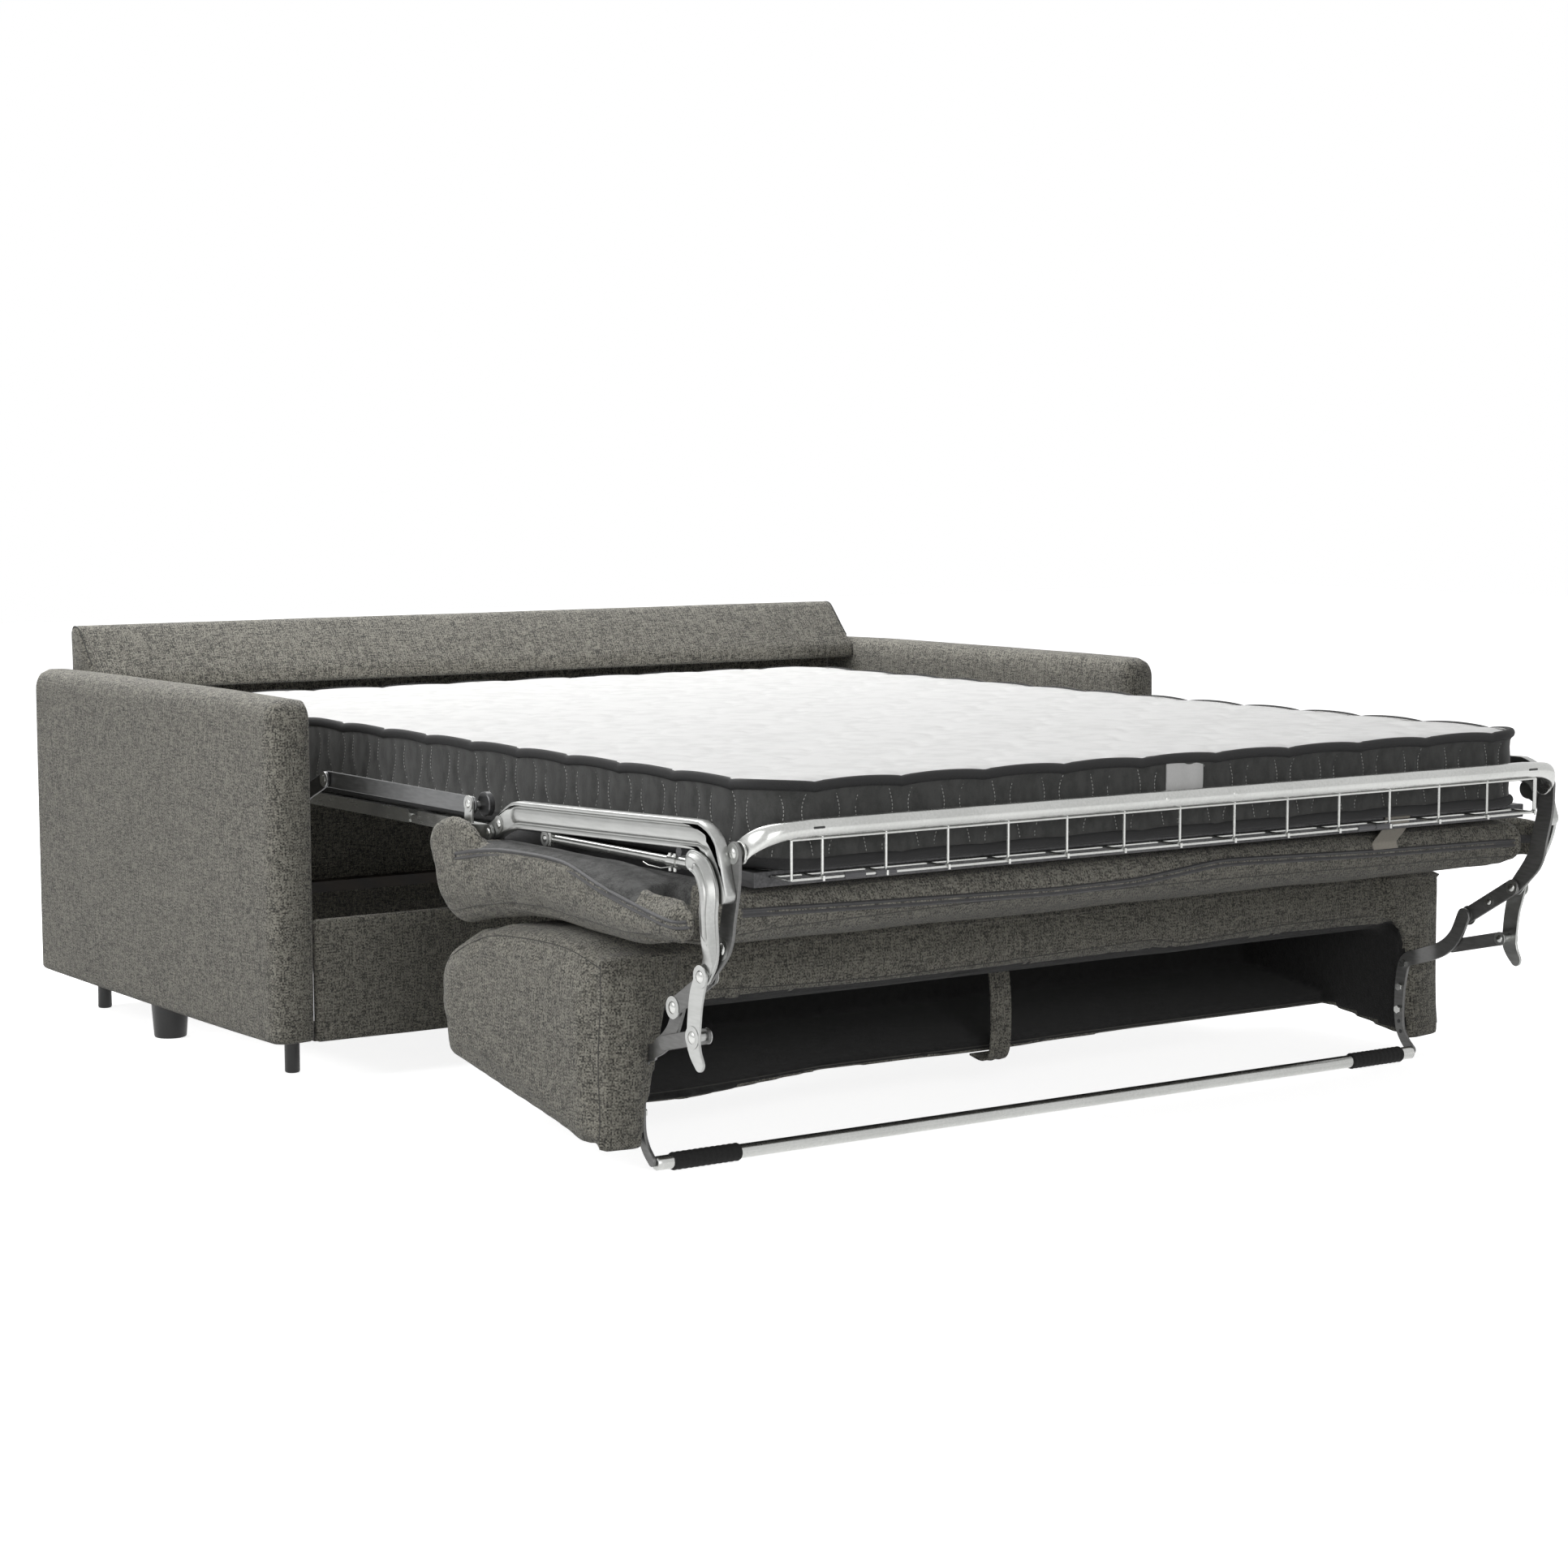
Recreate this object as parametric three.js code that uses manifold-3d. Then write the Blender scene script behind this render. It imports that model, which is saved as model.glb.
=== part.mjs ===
import * as THREE from "three";
import { mergeVertices } from "three/addons/utils/BufferGeometryUtils.js";
import Module from "manifold-3d";

const wasm = await Module();
wasm.setup();

// A two seat sleeper sofa, modelled with its bed pulled out, in millimetres.
// X runs from left to right as seen from the front, Y towards the wall behind and Z up.
// A place along the depth is given as its distance in front of the sofa's rear face.

const reach = 2059.5; // rear face to the front of the foot rail, with the bed out
const clearance = 0.3; // gap between pieces that touch
const overrun = 6; // how far a cut runs past a face
const degree = Math.PI / 180;
const pinSides = 8; // flats round a small pin
const boltSides = 6; // flats round a bolt's head
const linkSides = 12; // flats round a link's end or a thin tube
const roundSides = 24; // flats round a leg, a sleeve or the floor tube
const wireSides = 4; // flats round a thin wire
const arcSteps = 3; // pieces in a small rounded edge
const cornerSteps = 5; // pieces in a mattress corner
const bendSteps = 24; // pieces along the foot rail

const sofa = {
  halfWidth: 885,
  armWidth: 72,
  armDepth: 950,
  armTop: 598,
  underside: 67,
  armTopRadius: 34,
  armFootRadius: 10,
  armEdge: 15,
};

const back = {
  top: 672,
  topDepth: 26,
  lipDepth: 105,
  lipHeight: 14,
  padBottom: 572,
  boardThickness: 14,
  topRound: 8,
};

const base = {
  panelTop: 258,
  panelThickness: 14,
  panelSetback: 5,
  railWidth: 20,
  railHeight: 24,
  railInset: 3,
  battenHeight: 20,
  battenDepth: 36,
  battenBottom: 168,
};

const legs = {
  postRadius: 12,
  postInset: 90,
  frontPlace: 820,
  rearPlace: 73,
  thickTopRadius: 31.5,
  thickFootRadius: 28,
  thickInset: 65,
  thickPlace: 410,
};

// The bed: four sections that hinge on three lines under the mattress.
const bed = {
  hingeHeight: 420,
  headHinge: 280,
  upperHinge: 1075,
  footHinge: 1340,
  frameBottom: 413,
  frameHeight: 20,
  tubeWidth: 20,
  halfWidth: 710,
  hingeGap: 14,
  headGap: 20,
  headEnd: 140,
  footEnd: 1998,
  wire: 4,
  wireDrop: 2,
  columns: 8,
  headrestRows: 1,
  upperRows: 5,
  middleRows: 2,
  footRows: 4,
};

// The hinges between the sections: two flat leaves side by side, on one pin.
const hinge = { thickness: 5, width: 13, pinRadius: 3, boreRadius: 4.2 };

const mattress = {
  halfWidth: 700,
  headEnd: 115,
  footEnd: 2022,
  thickness: 115.5,
  cornerRadius: 70,
  leastRadius: 14,
  piping: 5,
  waist: 5,
  crown: 3,
  crownInset: 46,
  crownInsetShare: 0.67,
  crownFlat: 190,
  waistShares: [0.33, 0.67],
  foldSlack: 3,
  headFoldBottom: 304,
  headFoldTop: 354,
};

const rail = {
  radius: 12,
  height: 492,
  halfStraight: 668,
  bendDrop: 8,
  endHeight: 462,
  endPlace: 2011,
  endX: 722,
  eyeRadius: 15,
};

const basket = {
  wire: 4,
  bottom: 426,
  halfWidth: 658,
  bays: 13,
};

// The two pairs of levers that lower the bed into the sofa.
const carry = {
  lean: 20,
  length: 280.2,
  frontTop: 660,
  rearTop: 340,
  width: 26,
  thickness: 6,
  inner: 724,
  topHeight: 423,
  pinRadius: 7,
  headRadius: 11,
  headThickness: 3,
};

const sidePlate = {
  thickness: 4,
  bottom: 96,
  top: 186,
  front: 836,
  rear: 390,
  earWidth: 36,
};

// The short link at the rear of the foot section.
const crank = {
  thickness: 5,
  width: 22,
  lowPlace: 1345,
  lowHeight: 431,
};

// The cranked lever and the long flat bar seen beside the mattress.
const bar = { thickness: 4, width: 25, endPlace: 1351, endHeight: 471 };

const control = {
  thickness: 5,
  width: 24,
  seatPlace: 837,
  seatHeight: 428,
  pivotPlace: 792,
  pivotHeight: 238.3,
  kneePlace: 812,
  kneeHeight: 333,
  topPlace: 921,
  topHeight: 472,
  headRadius: 7.7,
};

// The pressed channel that runs along each side of the foot section.
const sideArm = {
  inner: 751.3,
  depth: 16,
  web: 3,
  rearPlace: 1418,
  rearHeight: 436,
  shoulderPlace: 1474,
  shoulderTop: 484,
  noseTopPlace: 1952,
  noseTop: 501,
  nosePlace: 2006,
  noseHeight: 462,
  toePlace: 2010,
  toeHeight: 406,
  width: 26,
  belly: 40,
};

// The lugs on the foot frame that the side arms bolt to.
const lug = {
  thickness: 6,
  length: 20,
  rise: 30,
  pinHeight: 452,
  pinRadius: 7,
  rearPlace: 1490,
  frontPlace: 1884,
};

const tieTube = {
  radius: 6.5,
  x: 732,
  rearPlace: 1520,
  rearHeight: 434,
  collarPlace: 1850,
  frontPlace: 1900,
  frontHeight: 434,
  collarRadius: 10,
  collarLength: 30,
  pinRadius: 5,
};

const dropPlate = { inner: 746, thickness: 5, width: 26 };

// The bends of the pressed plate that hangs from the rail's eye.
const stamped = {
  topPlace: 1936,
  topHeight: 446,
  elbowPlace: 1978,
  elbowHeight: 421,
  lowPlace: 1988,
  lowHeight: 348,
};

// The backrest hangs from two short double links.
const swing = {
  topPlace: 1949.2,
  topHeight: 296.4,
  lowPlace: 1857,
  lowHeight: 242,
  hookPlace: 1908,
  hookHeight: 212,
  footPlace: 1936,
  footHeight: 184,
  width: 26,
  tailWidth: 20,
  thickness: 4,
  inner: 738,
  outer: 757,
  pinRadius: 7,
};

const bracket = {
  earInner: 731,
  earThickness: 5,
  width: 24,
  plateInner: 716,
  plateThickness: 5.7,
  kneeReach: 22,
  kneeHeight: 196,
  boltInset: 6,
  boltHeights: [159, 118, 76],
  boltRadius: 6,
  boltThickness: 3,
  toeInset: 2,
  toeHeight: 44,
};

const floorTube = {
  radius: 10,
  place: 1765,
  sleeveRadius: 12.5,
  sleeveLength: 110,
  sleeveEnd: 690,
};

const seat = {
  halfLength: 800,
  rear: 1296,
  front: 1986,
  top: 402,
  bottom: 324,
  rearBottom: 338,
  noseBottom: 352,
  slopePlace: 1880,
  round: 34,
  crown: 12,
  crownLength: 240,
  endDrawShare: 0.42,
  endRounding: 34,
  panelRear: 1350,
  panelFront: 1952,
  panelHalf: 720,
  slotInner: 722,
  slotOuter: 768,
  slotPlace: 1822,
};

const hood = {
  halfLength: 800,
  rear: 1312,
  front: 1738,
  rearTop: 256,
  shoulderPlace: 1400,
  top: 315,
  rearBottom: 102,
  frontBottom: 34,
  round: 22,
  crown: 4,
  crownLength: 260,
  endDrawShare: 0.16,
  endRounding: 30,
  wing: 78,
  rearWall: 58,
  skirtBottom: 216,
  liningTop: 204,
  floorThickness: 15,
  floorEnd: 1580,
};

const innerFace = sofa.halfWidth - sofa.armWidth;
const crankInner = sideArm.inner + sideArm.depth + clearance;
const barInner = crankInner + crank.thickness + clearance;
const controlInner = barInner + bar.thickness + clearance;
const place = (distance) => reach / 2 - distance;
const frameTop = bed.frameBottom + bed.frameHeight;
const mattressBottom = frameTop + clearance;
const mattressTop = mattressBottom + mattress.thickness;
const railPlace = reach - rail.radius;

// Colours, roughness and metalness as they look in daylight.
const finish = (color, roughness, metalness) => new THREE.MeshStandardMaterial({ color, roughness, metalness });
const cloth = 0x5f5d58;
const lining = 0x2b2b2c;
const steel = 0xa9aaab;
const zinc = 0xb9bbbd;
const charcoal = 0x3a3b3d;
const blackPlastic = 0x111112;
const whiteKnit = 0xeeedea;
const woodTone = 0x8d7355;
const wireTone = 0xd5d6d6;

const sofaBed = new THREE.Group();

// Turning a three.js geometry into a solid, and a solid back into a named mesh.
function toSolid(geometry) {
  const bare = geometry.clone();
  bare.deleteAttribute("normal");
  bare.deleteAttribute("uv");
  const merged = mergeVertices(bare);
  const vertProperties = new Float32Array(merged.attributes.position.array);
  const triVerts = new Uint32Array(merged.index.array);
  return new wasm.Manifold(new wasm.Mesh({ numProp: 3, vertProperties, triVerts }));
}

function addPiece(name, solid, color, roughness, metalness = 0) {
  const mesh = solid.getMesh();
  const geometry = new THREE.BufferGeometry();
  geometry.setAttribute("position", new THREE.BufferAttribute(new Float32Array(mesh.vertProperties), 3));
  geometry.setIndex(new THREE.BufferAttribute(new Uint32Array(mesh.triVerts), 1));
  geometry.computeVertexNormals();
  const piece = new THREE.Mesh(geometry, finish(color, roughness, metalness));
  piece.name = name;
  sofaBed.add(piece);
}

const joined = (solids) => solids.reduce((whole, next) => whole.add(next));
const sides = [["left", -1], ["right", 1]];

// A span of X given by its distances from the middle, on the side that the sign names.
const span = (sign, inner, thickness) => (sign > 0 ? [inner, inner + thickness] : [-inner - thickness, -inner]);

// Turns a shape drawn in the side view so that its depth runs along X.
const sideTurn = new THREE.Matrix4().makeBasis(
  new THREE.Vector3(0, 1, 0),
  new THREE.Vector3(0, 0, 1),
  new THREE.Vector3(1, 0, 0)
);

// An outline in the side view, as [distance, height] points, drawn out along X.
function sideSolid(outline, low, high) {
  const corners = outline.map(([distance, height]) => new THREE.Vector2(place(distance), height));
  const shape = new THREE.Shape(corners);
  const geometry = new THREE.ExtrudeGeometry(shape, { depth: high - low, bevelEnabled: false });
  geometry.applyMatrix4(sideTurn);
  geometry.translate(low, 0, 0);
  return toSolid(geometry);
}


function block(lowX, highX, nearPlace, farPlace, lowZ, highZ) {
  const geometry = new THREE.BoxGeometry(highX - lowX, farPlace - nearPlace, highZ - lowZ);
  geometry.translate((lowX + highX) / 2, place((nearPlace + farPlace) / 2), (lowZ + highZ) / 2);
  return toSolid(geometry);
}

// A round pin along X.
function pin(distance, height, radius, low, high, segments = pinSides) {
  const geometry = new THREE.CylinderGeometry(radius, radius, high - low, segments);
  geometry.rotateZ(Math.PI / 2);
  geometry.translate((low + high) / 2, place(distance), height);
  return toSolid(geometry);
}

// A flat link: a strip of even width along a few points, with round ends.
function strip(points, width, low, high) {
  const half = width / 2;
  const parts = points.map(([distance, height]) => pin(distance, height, half, low, high, linkSides));
  for (let index = 1; index < points.length; index += 1) {
    const [startPlace, startHeight] = points[index - 1];
    const [endPlace, endHeight] = points[index];
    const run = Math.hypot(endPlace - startPlace, endHeight - startHeight);
    const across = [(-(endHeight - startHeight) / run) * half, ((endPlace - startPlace) / run) * half];
    parts.push(sideSolid([
      [startPlace + across[0], startHeight + across[1]],
      [endPlace + across[0], endHeight + across[1]],
      [endPlace - across[0], endHeight - across[1]],
      [startPlace - across[0], startHeight - across[1]],
    ], low, high));
  }
  return joined(parts);
}

// A straight round rod between two points.
function rod(from, to, radius, segments) {
  const direction = new THREE.Vector3().subVectors(to, from);
  const geometry = new THREE.CylinderGeometry(radius, radius, direction.length(), segments);
  const turn = new THREE.Quaternion().setFromUnitVectors(new THREE.Vector3(0, 1, 0), direction.normalize());
  geometry.applyQuaternion(turn);
  geometry.translate((from.x + to.x) / 2, (from.y + to.y) / 2, (from.z + to.z) / 2);
  return toSolid(geometry);
}

const at = (x, distance, height) => new THREE.Vector3(x, place(distance), height);

// A round tube along a smooth curve.
function bentTube(points, radius, segments, steps) {
  const outline = new THREE.Shape();
  for (let index = 0; index < segments; index += 1) {
    const angle = (index / segments) * 2 * Math.PI;
    const corner = [Math.cos(angle) * radius, Math.sin(angle) * radius];
    if (index === 0) {
      outline.moveTo(...corner);
    } else {
      outline.lineTo(...corner);
    }
  }
  const path = new THREE.CatmullRomCurve3(points, false, "centripetal");
  return toSolid(new THREE.ExtrudeGeometry(outline, { steps, extrudePath: path }));
}

// A closed skin through rings that have as many points each.
function loft(rings) {
  const count = rings[0].length;
  const positions = rings.flat().flatMap((point) => [point.x, point.y, point.z]);
  const indices = [];
  for (let ring = 0; ring + 1 < rings.length; ring += 1) {
    for (let index = 0; index < count; index += 1) {
      const next = (index + 1) % count;
      const near = ring * count;
      const far = near + count;
      indices.push(near + index, near + next, far + next, near + index, far + next, far + index);
    }
  }
  [rings[0], rings[rings.length - 1]].forEach((ring, end) => {
    const middle = ring.reduce((sum, point) => sum.add(point), new THREE.Vector3()).divideScalar(count);
    const centre = positions.length / 3;
    const first = end === 0 ? 0 : (rings.length - 1) * count;
    positions.push(middle.x, middle.y, middle.z);
    for (let index = 0; index < count; index += 1) {
      const next = (index + 1) % count;
      const edge = end === 0 ? [first + next, first + index] : [first + index, first + next];
      indices.push(centre, ...edge);
    }
  });
  const geometry = new THREE.BufferGeometry();
  geometry.setAttribute("position", new THREE.Float32BufferAttribute(positions, 3));
  geometry.setIndex(indices);
  if (signedVolume(positions, indices) < 0) {
    geometry.setIndex(indices.slice().reverse());
  }
  return toSolid(geometry);
}

function signedVolume(positions, indices) {
  const corner = (index) => new THREE.Vector3().fromArray(positions, index * 3);
  let total = 0;
  for (let index = 0; index < indices.length; index += 3) {
    const [first, second, third] = [0, 1, 2].map((step) => corner(indices[index + step]));
    total += first.dot(second.cross(third));
  }
  return total;
}

// Stations along a cushion's length, closer together where its ends round off.
const endShares = [1, 0.92, 0.7, 0.35, 0];
const innerStations = 7;
function stations(halfLength, rounding, count) {
  const right = endShares.map((share) => halfLength - rounding + rounding * share);
  const inner = halfLength - rounding;
  const pitch = (2 * inner) / (count + 1);
  const middle = Array.from({ length: count }, (unused, index) => inner - (index + 1) * pitch);
  return [...right, ...middle, ...right.map((x) => -x).reverse()];
}

// How far a rounded end has closed in at x, as a share: nothing along the middle, 1 at the very end.
function endShare(x, halfLength, rounding) {
  const along = Math.max(0, (Math.abs(x) - halfLength + rounding) / rounding);
  return 1 - Math.sqrt(Math.max(0, 1 - along * along));
}

makeSofaBody();
makeLegs();
makeSidePlates();
makeCarryLevers();
makeControlLevers();
makeBedFrames();
makeFootRail();
makeBasket();
makeFootPlates();
makeSeat();
makeBackrest();
makeFloorTube();
makeMattress();

// Arms, back, front panel and the rails between the arms.
function makeSofaBody() {
  for (const [side, sign] of sides) {
    addPiece(`arm_${side}`, armSolid(sign), cloth, 0.95);
  }
  const halfInside = innerFace - clearance;
  const lipTop = back.padBottom + back.lipHeight;
  const pad = [
    [0, back.padBottom],
    [0, back.top - back.topRound],
    [back.topRound, back.top],
    [back.topDepth - back.topRound, back.top],
    [back.topDepth, back.top - back.topRound],
    [back.lipDepth, lipTop],
    [back.lipDepth, back.padBottom],
  ];
  addPiece("back_pad", sideSolid(pad, -halfInside, halfInside), cloth, 0.95);
  const boardTop = back.padBottom - clearance;
  const board = block(-halfInside, halfInside, 0, back.boardThickness, sofa.underside, boardTop);
  addPiece("rear_board", board, cloth, 0.95);
  const panelFront = sofa.armDepth - base.panelSetback;
  const panelRear = panelFront - base.panelThickness;
  const panel = block(-halfInside, halfInside, panelRear, panelFront, sofa.underside, base.panelTop);
  addPiece("front_panel", panel, cloth, 0.95);
  const railFront = panelRear - clearance;
  const railRear = back.boardThickness + clearance;
  for (const [side, sign] of sides) {
    const [low, high] = span(sign, innerFace - base.railInset - base.railWidth, base.railWidth);
    const railTop = sofa.underside + base.railHeight;
    const baseRail = block(low, high, railRear, railFront, sofa.underside, railTop);
    addPiece(`base_rail_${side}`, baseRail, woodTone, 0.8);
  }
  const battenTop = base.battenBottom + base.battenHeight;
  const battenHalf = innerFace - sidePlate.thickness - 2 * clearance;
  const battenFront = railRear + base.battenDepth;
  const batten = block(-battenHalf, battenHalf, railRear, battenFront, base.battenBottom, battenTop);
  addPiece("rear_rail", batten, woodTone, 0.8);
}

// An arm: its side view drawn out to its width, with every long edge softly rounded.
function armSolid(sign) {
  const edge = sofa.armEdge;
  const shape = new THREE.Shape();
  const rear = place(0) - edge;
  const front = place(sofa.armDepth) + edge;
  const low = sofa.underside + edge;
  const top = sofa.armTop - edge;
  const topRadius = sofa.armTopRadius - edge;
  const footRadius = sofa.armFootRadius;
  shape.moveTo(front + footRadius, low);
  shape.lineTo(rear, low);
  shape.lineTo(rear, top - footRadius);
  shape.absarc(rear - footRadius, top - footRadius, footRadius, 0, Math.PI / 2, false);
  shape.lineTo(front + topRadius, top);
  shape.absarc(front + topRadius, top - topRadius, topRadius, Math.PI / 2, Math.PI, false);
  shape.lineTo(front, low + footRadius);
  shape.absarc(front + footRadius, low + footRadius, footRadius, Math.PI, 1.5 * Math.PI, false);
  const geometry = new THREE.ExtrudeGeometry(shape, {
    depth: sofa.armWidth - 2 * edge,
    bevelEnabled: true,
    bevelThickness: edge,
    bevelSize: edge,
    bevelSegments: arcSteps,
    curveSegments: arcSteps,
  });
  geometry.applyMatrix4(sideTurn);
  const lowX = sign > 0 ? innerFace : -sofa.halfWidth;
  geometry.translate(lowX + edge, 0, 0);
  return toSolid(geometry);
}

// Two thin posts and one thick tapered foot on each side.
function makeLegs() {
  const height = sofa.underside - clearance;
  for (const [side, sign] of sides) {
    for (const [name, distance] of [["front_leg", legs.frontPlace], ["rear_leg", legs.rearPlace]]) {
      const geometry = new THREE.CylinderGeometry(legs.postRadius, legs.postRadius, height, roundSides);
      geometry.rotateX(Math.PI / 2);
      geometry.translate(sign * (sofa.halfWidth - legs.postInset), place(distance), height / 2);
      addPiece(`${name}_${side}`, toSolid(geometry), blackPlastic, 0.5);
    }
    const foot = new THREE.CylinderGeometry(legs.thickTopRadius, legs.thickFootRadius, height, roundSides);
    foot.rotateX(Math.PI / 2);
    foot.translate(sign * (sofa.halfWidth - legs.thickInset), place(legs.thickPlace), height / 2);
    addPiece(`middle_leg_${side}`, toSolid(foot), blackPlastic, 0.5);
  }
}

// Where the carry levers turn: straight down the lever from its top, at its lean.
function carryPivot(topPlace) {
  return [
    topPlace + carry.length * Math.sin(carry.lean * degree),
    carry.topHeight - carry.length * Math.cos(carry.lean * degree),
  ];
}

// The steel plates inside the arms, with the pins that the levers turn on.
function makeSidePlates() {
  const [rearPlace, pivotHeight] = carryPivot(carry.rearTop);
  const [frontPlace] = carryPivot(carry.frontTop);
  const earFront = control.pivotPlace + sidePlate.earWidth / 2;
  const earRear = control.pivotPlace - sidePlate.earWidth / 2;
  const earTop = control.pivotHeight + sidePlate.earWidth / 2;
  const outline = [
    [sidePlate.rear, sidePlate.bottom],
    [sidePlate.rear, sidePlate.top],
    [earRear, sidePlate.top],
    [earRear, earTop],
    [earFront, earTop],
    [sidePlate.front, sidePlate.top],
    [sidePlate.front, sidePlate.bottom],
  ];
  const plateInner = innerFace - clearance - sidePlate.thickness;
  for (const [side, sign] of sides) {
    const plate = sideSolid(outline, ...span(sign, plateInner, sidePlate.thickness));
    const carryPin = carry.inner + carry.thickness + clearance;
    const controlPin = controlInner + control.thickness + clearance;
    const pins = [
      pin(rearPlace, pivotHeight, carry.pinRadius, ...span(sign, carryPin, plateInner + clearance - carryPin)),
      pin(frontPlace, pivotHeight, carry.pinRadius, ...span(sign, carryPin, plateInner + clearance - carryPin)),
      pin(control.pivotPlace, control.pivotHeight, carry.pinRadius,
        ...span(sign, controlPin, plateInner + clearance - controlPin)),
    ];
    addPiece(`side_plate_${side}`, joined([plate, ...pins]), charcoal, 0.5, 0.7);
  }
}

// Four levers of one length, a parallelogram that keeps the bed level as it sinks.
function makeCarryLevers() {
  for (const [name, topPlace] of [["front_lever", carry.frontTop], ["rear_lever", carry.rearTop]]) {
    const pivot = carryPivot(topPlace);
    const top = [topPlace, carry.topHeight];
    for (const [side, sign] of sides) {
      const lever = strip([pivot, top], carry.width, ...span(sign, carry.inner, carry.thickness));
      const headSpan = span(sign, carry.inner + carry.thickness, carry.headThickness);
      const head = pin(...top, carry.headRadius, ...headSpan);
      addPiece(`${name}_${side}`, joined([lever, head]), charcoal, 0.5, 0.7);
    }
  }
}

// The cranked lever and the flat bar that it carries.
function makeControlLevers() {
  const seatPoint = [control.seatPlace, control.seatHeight];
  const topPoint = [control.topPlace, control.topHeight];
  const points = [
    [control.pivotPlace, control.pivotHeight],
    [control.kneePlace, control.kneeHeight],
    seatPoint,
    topPoint,
  ];
  for (const [side, sign] of sides) {
    const plate = strip(points, control.width, ...span(sign, controlInner, control.thickness));
    const headSpan = span(sign, controlInner + control.thickness, carry.headThickness);
    const heads = [seatPoint, topPoint].map((point) => pin(...point, control.headRadius, ...headSpan));
    addPiece(`control_lever_${side}`, joined([plate, ...heads]), steel, 0.35, 1);
    const barSpan = span(sign, barInner, bar.thickness);
    const flat = strip([topPoint, [bar.endPlace, bar.endHeight]], bar.width, ...barSpan);
    addPiece(`flat_bar_${side}`, flat, steel, 0.35, 1);
  }
}

// One section of the bed frame: four tubes and the welded grid between them.
function frameSolid(near, far, rows) {
  const inner = bed.halfWidth - bed.tubeWidth;
  const rim = block(-bed.halfWidth, bed.halfWidth, near, far, bed.frameBottom, frameTop);
  const hollow = block(-inner, inner, near + bed.tubeWidth, far - bed.tubeWidth,
    bed.frameBottom - overrun, frameTop + overrun);
  const gridTop = frameTop - bed.wireDrop;
  const parts = [rim.subtract(hollow)];
  const lap = bed.wire;
  for (let column = 1; column < bed.columns; column += 1) {
    const middle = -inner + (2 * inner * column) / bed.columns;
    parts.push(block(middle - bed.wire / 2, middle + bed.wire / 2, near + bed.tubeWidth - lap,
      far - bed.tubeWidth + lap, gridTop - bed.wire, gridTop));
  }
  const inside = far - near - 2 * bed.tubeWidth;
  for (let row = 1; row < rows; row += 1) {
    const middle = near + bed.tubeWidth + (inside * row) / rows;
    parts.push(block(-inner - lap, inner + lap, middle - bed.wire / 2, middle + bed.wire / 2,
      gridTop - bed.wire, gridTop));
  }
  return joined(parts);
}

// Two hinge leaves, one on each side: the outer ones carry a pin and the inner ones its bore.
function hingeLeaves(hingePlace, rimPlace, isOuter) {
  const innerStart = bed.halfWidth - 2 * hinge.thickness - clearance;
  const start = isOuter ? bed.halfWidth - hinge.thickness : innerStart;
  const axis = [hingePlace, bed.hingeHeight];
  return sides.map(([, sign]) => {
    const leafSpan = span(sign, start, hinge.thickness);
    const leaf = strip([axis, [rimPlace, bed.hingeHeight]], hinge.width, ...leafSpan);
    if (isOuter) {
      const pinLength = start - innerStart + hinge.thickness / 2;
      return leaf.add(pin(...axis, hinge.pinRadius, ...span(sign, innerStart, pinLength)));
    }
    const boreLength = hinge.thickness + 2 * overrun;
    return leaf.subtract(pin(...axis, hinge.boreRadius, ...span(sign, start - overrun, boreLength), linkSides));
  });
}

// The head section also carries the pins for the levers, and the foot section the lugs.
function makeBedFrames() {
  const gap = bed.hingeGap;
  const lap = bed.tubeWidth / 2;
  const headrestFront = bed.headHinge - bed.headGap;
  const upperRear = bed.headHinge + bed.headGap;
  const upperFront = bed.upperHinge - gap;
  const middleRear = bed.upperHinge + gap;
  const middleFront = bed.footHinge - gap;
  const footRear = bed.footHinge + gap;
  const headrest = [
    frameSolid(bed.headEnd, headrestFront, bed.headrestRows),
    ...hingeLeaves(bed.headHinge, headrestFront - lap, true),
  ];
  addPiece("headrest_frame", joined(headrest), steel, 0.4, 1);
  const upper = [
    frameSolid(upperRear, upperFront, bed.upperRows),
    ...hingeLeaves(bed.headHinge, upperRear + lap, false),
    ...hingeLeaves(bed.upperHinge, upperFront - lap, false),
  ];
  for (const [, sign] of sides) {
    for (const topPlace of [carry.frontTop, carry.rearTop]) {
      const pinSpan = span(sign, bed.halfWidth - clearance, carry.inner - bed.halfWidth);
      upper.push(pin(topPlace, carry.topHeight, carry.pinRadius, ...pinSpan));
    }
  }
  addPiece("upper_frame", joined(upper), steel, 0.4, 1);
  const middle = [
    frameSolid(middleRear, middleFront, bed.middleRows),
    ...hingeLeaves(bed.upperHinge, middleRear + lap, true),
    ...hingeLeaves(bed.footHinge, middleFront - lap, true),
  ];
  addPiece("middle_frame", joined(middle), steel, 0.4, 1);
  const foot = [
    frameSolid(footRear, bed.footEnd, bed.footRows),
    ...hingeLeaves(bed.footHinge, footRear + lap, false),
    ...footLugs(),
  ];
  addPiece("foot_frame", joined(foot), steel, 0.4, 1);
}

// Upright lugs on the foot frame, each with a pin to the side arm.
function footLugs() {
  const parts = [];
  const half = lug.length / 2;
  const lugInner = bed.halfWidth - lug.thickness;
  const pinStart = lugInner + lug.thickness / 2;
  const pinLength = sideArm.inner - clearance - pinStart;
  for (const [, sign] of sides) {
    for (const spot of [lug.rearPlace, lug.frontPlace]) {
      const lugSpan = span(sign, lugInner, lug.thickness);
      parts.push(block(...lugSpan, spot - half, spot + half, frameTop - lug.rise / 2, frameTop + lug.rise));
      parts.push(pin(spot, lug.pinHeight, lug.pinRadius, ...span(sign, pinStart, pinLength)));
    }
  }
  return parts;
}

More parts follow.
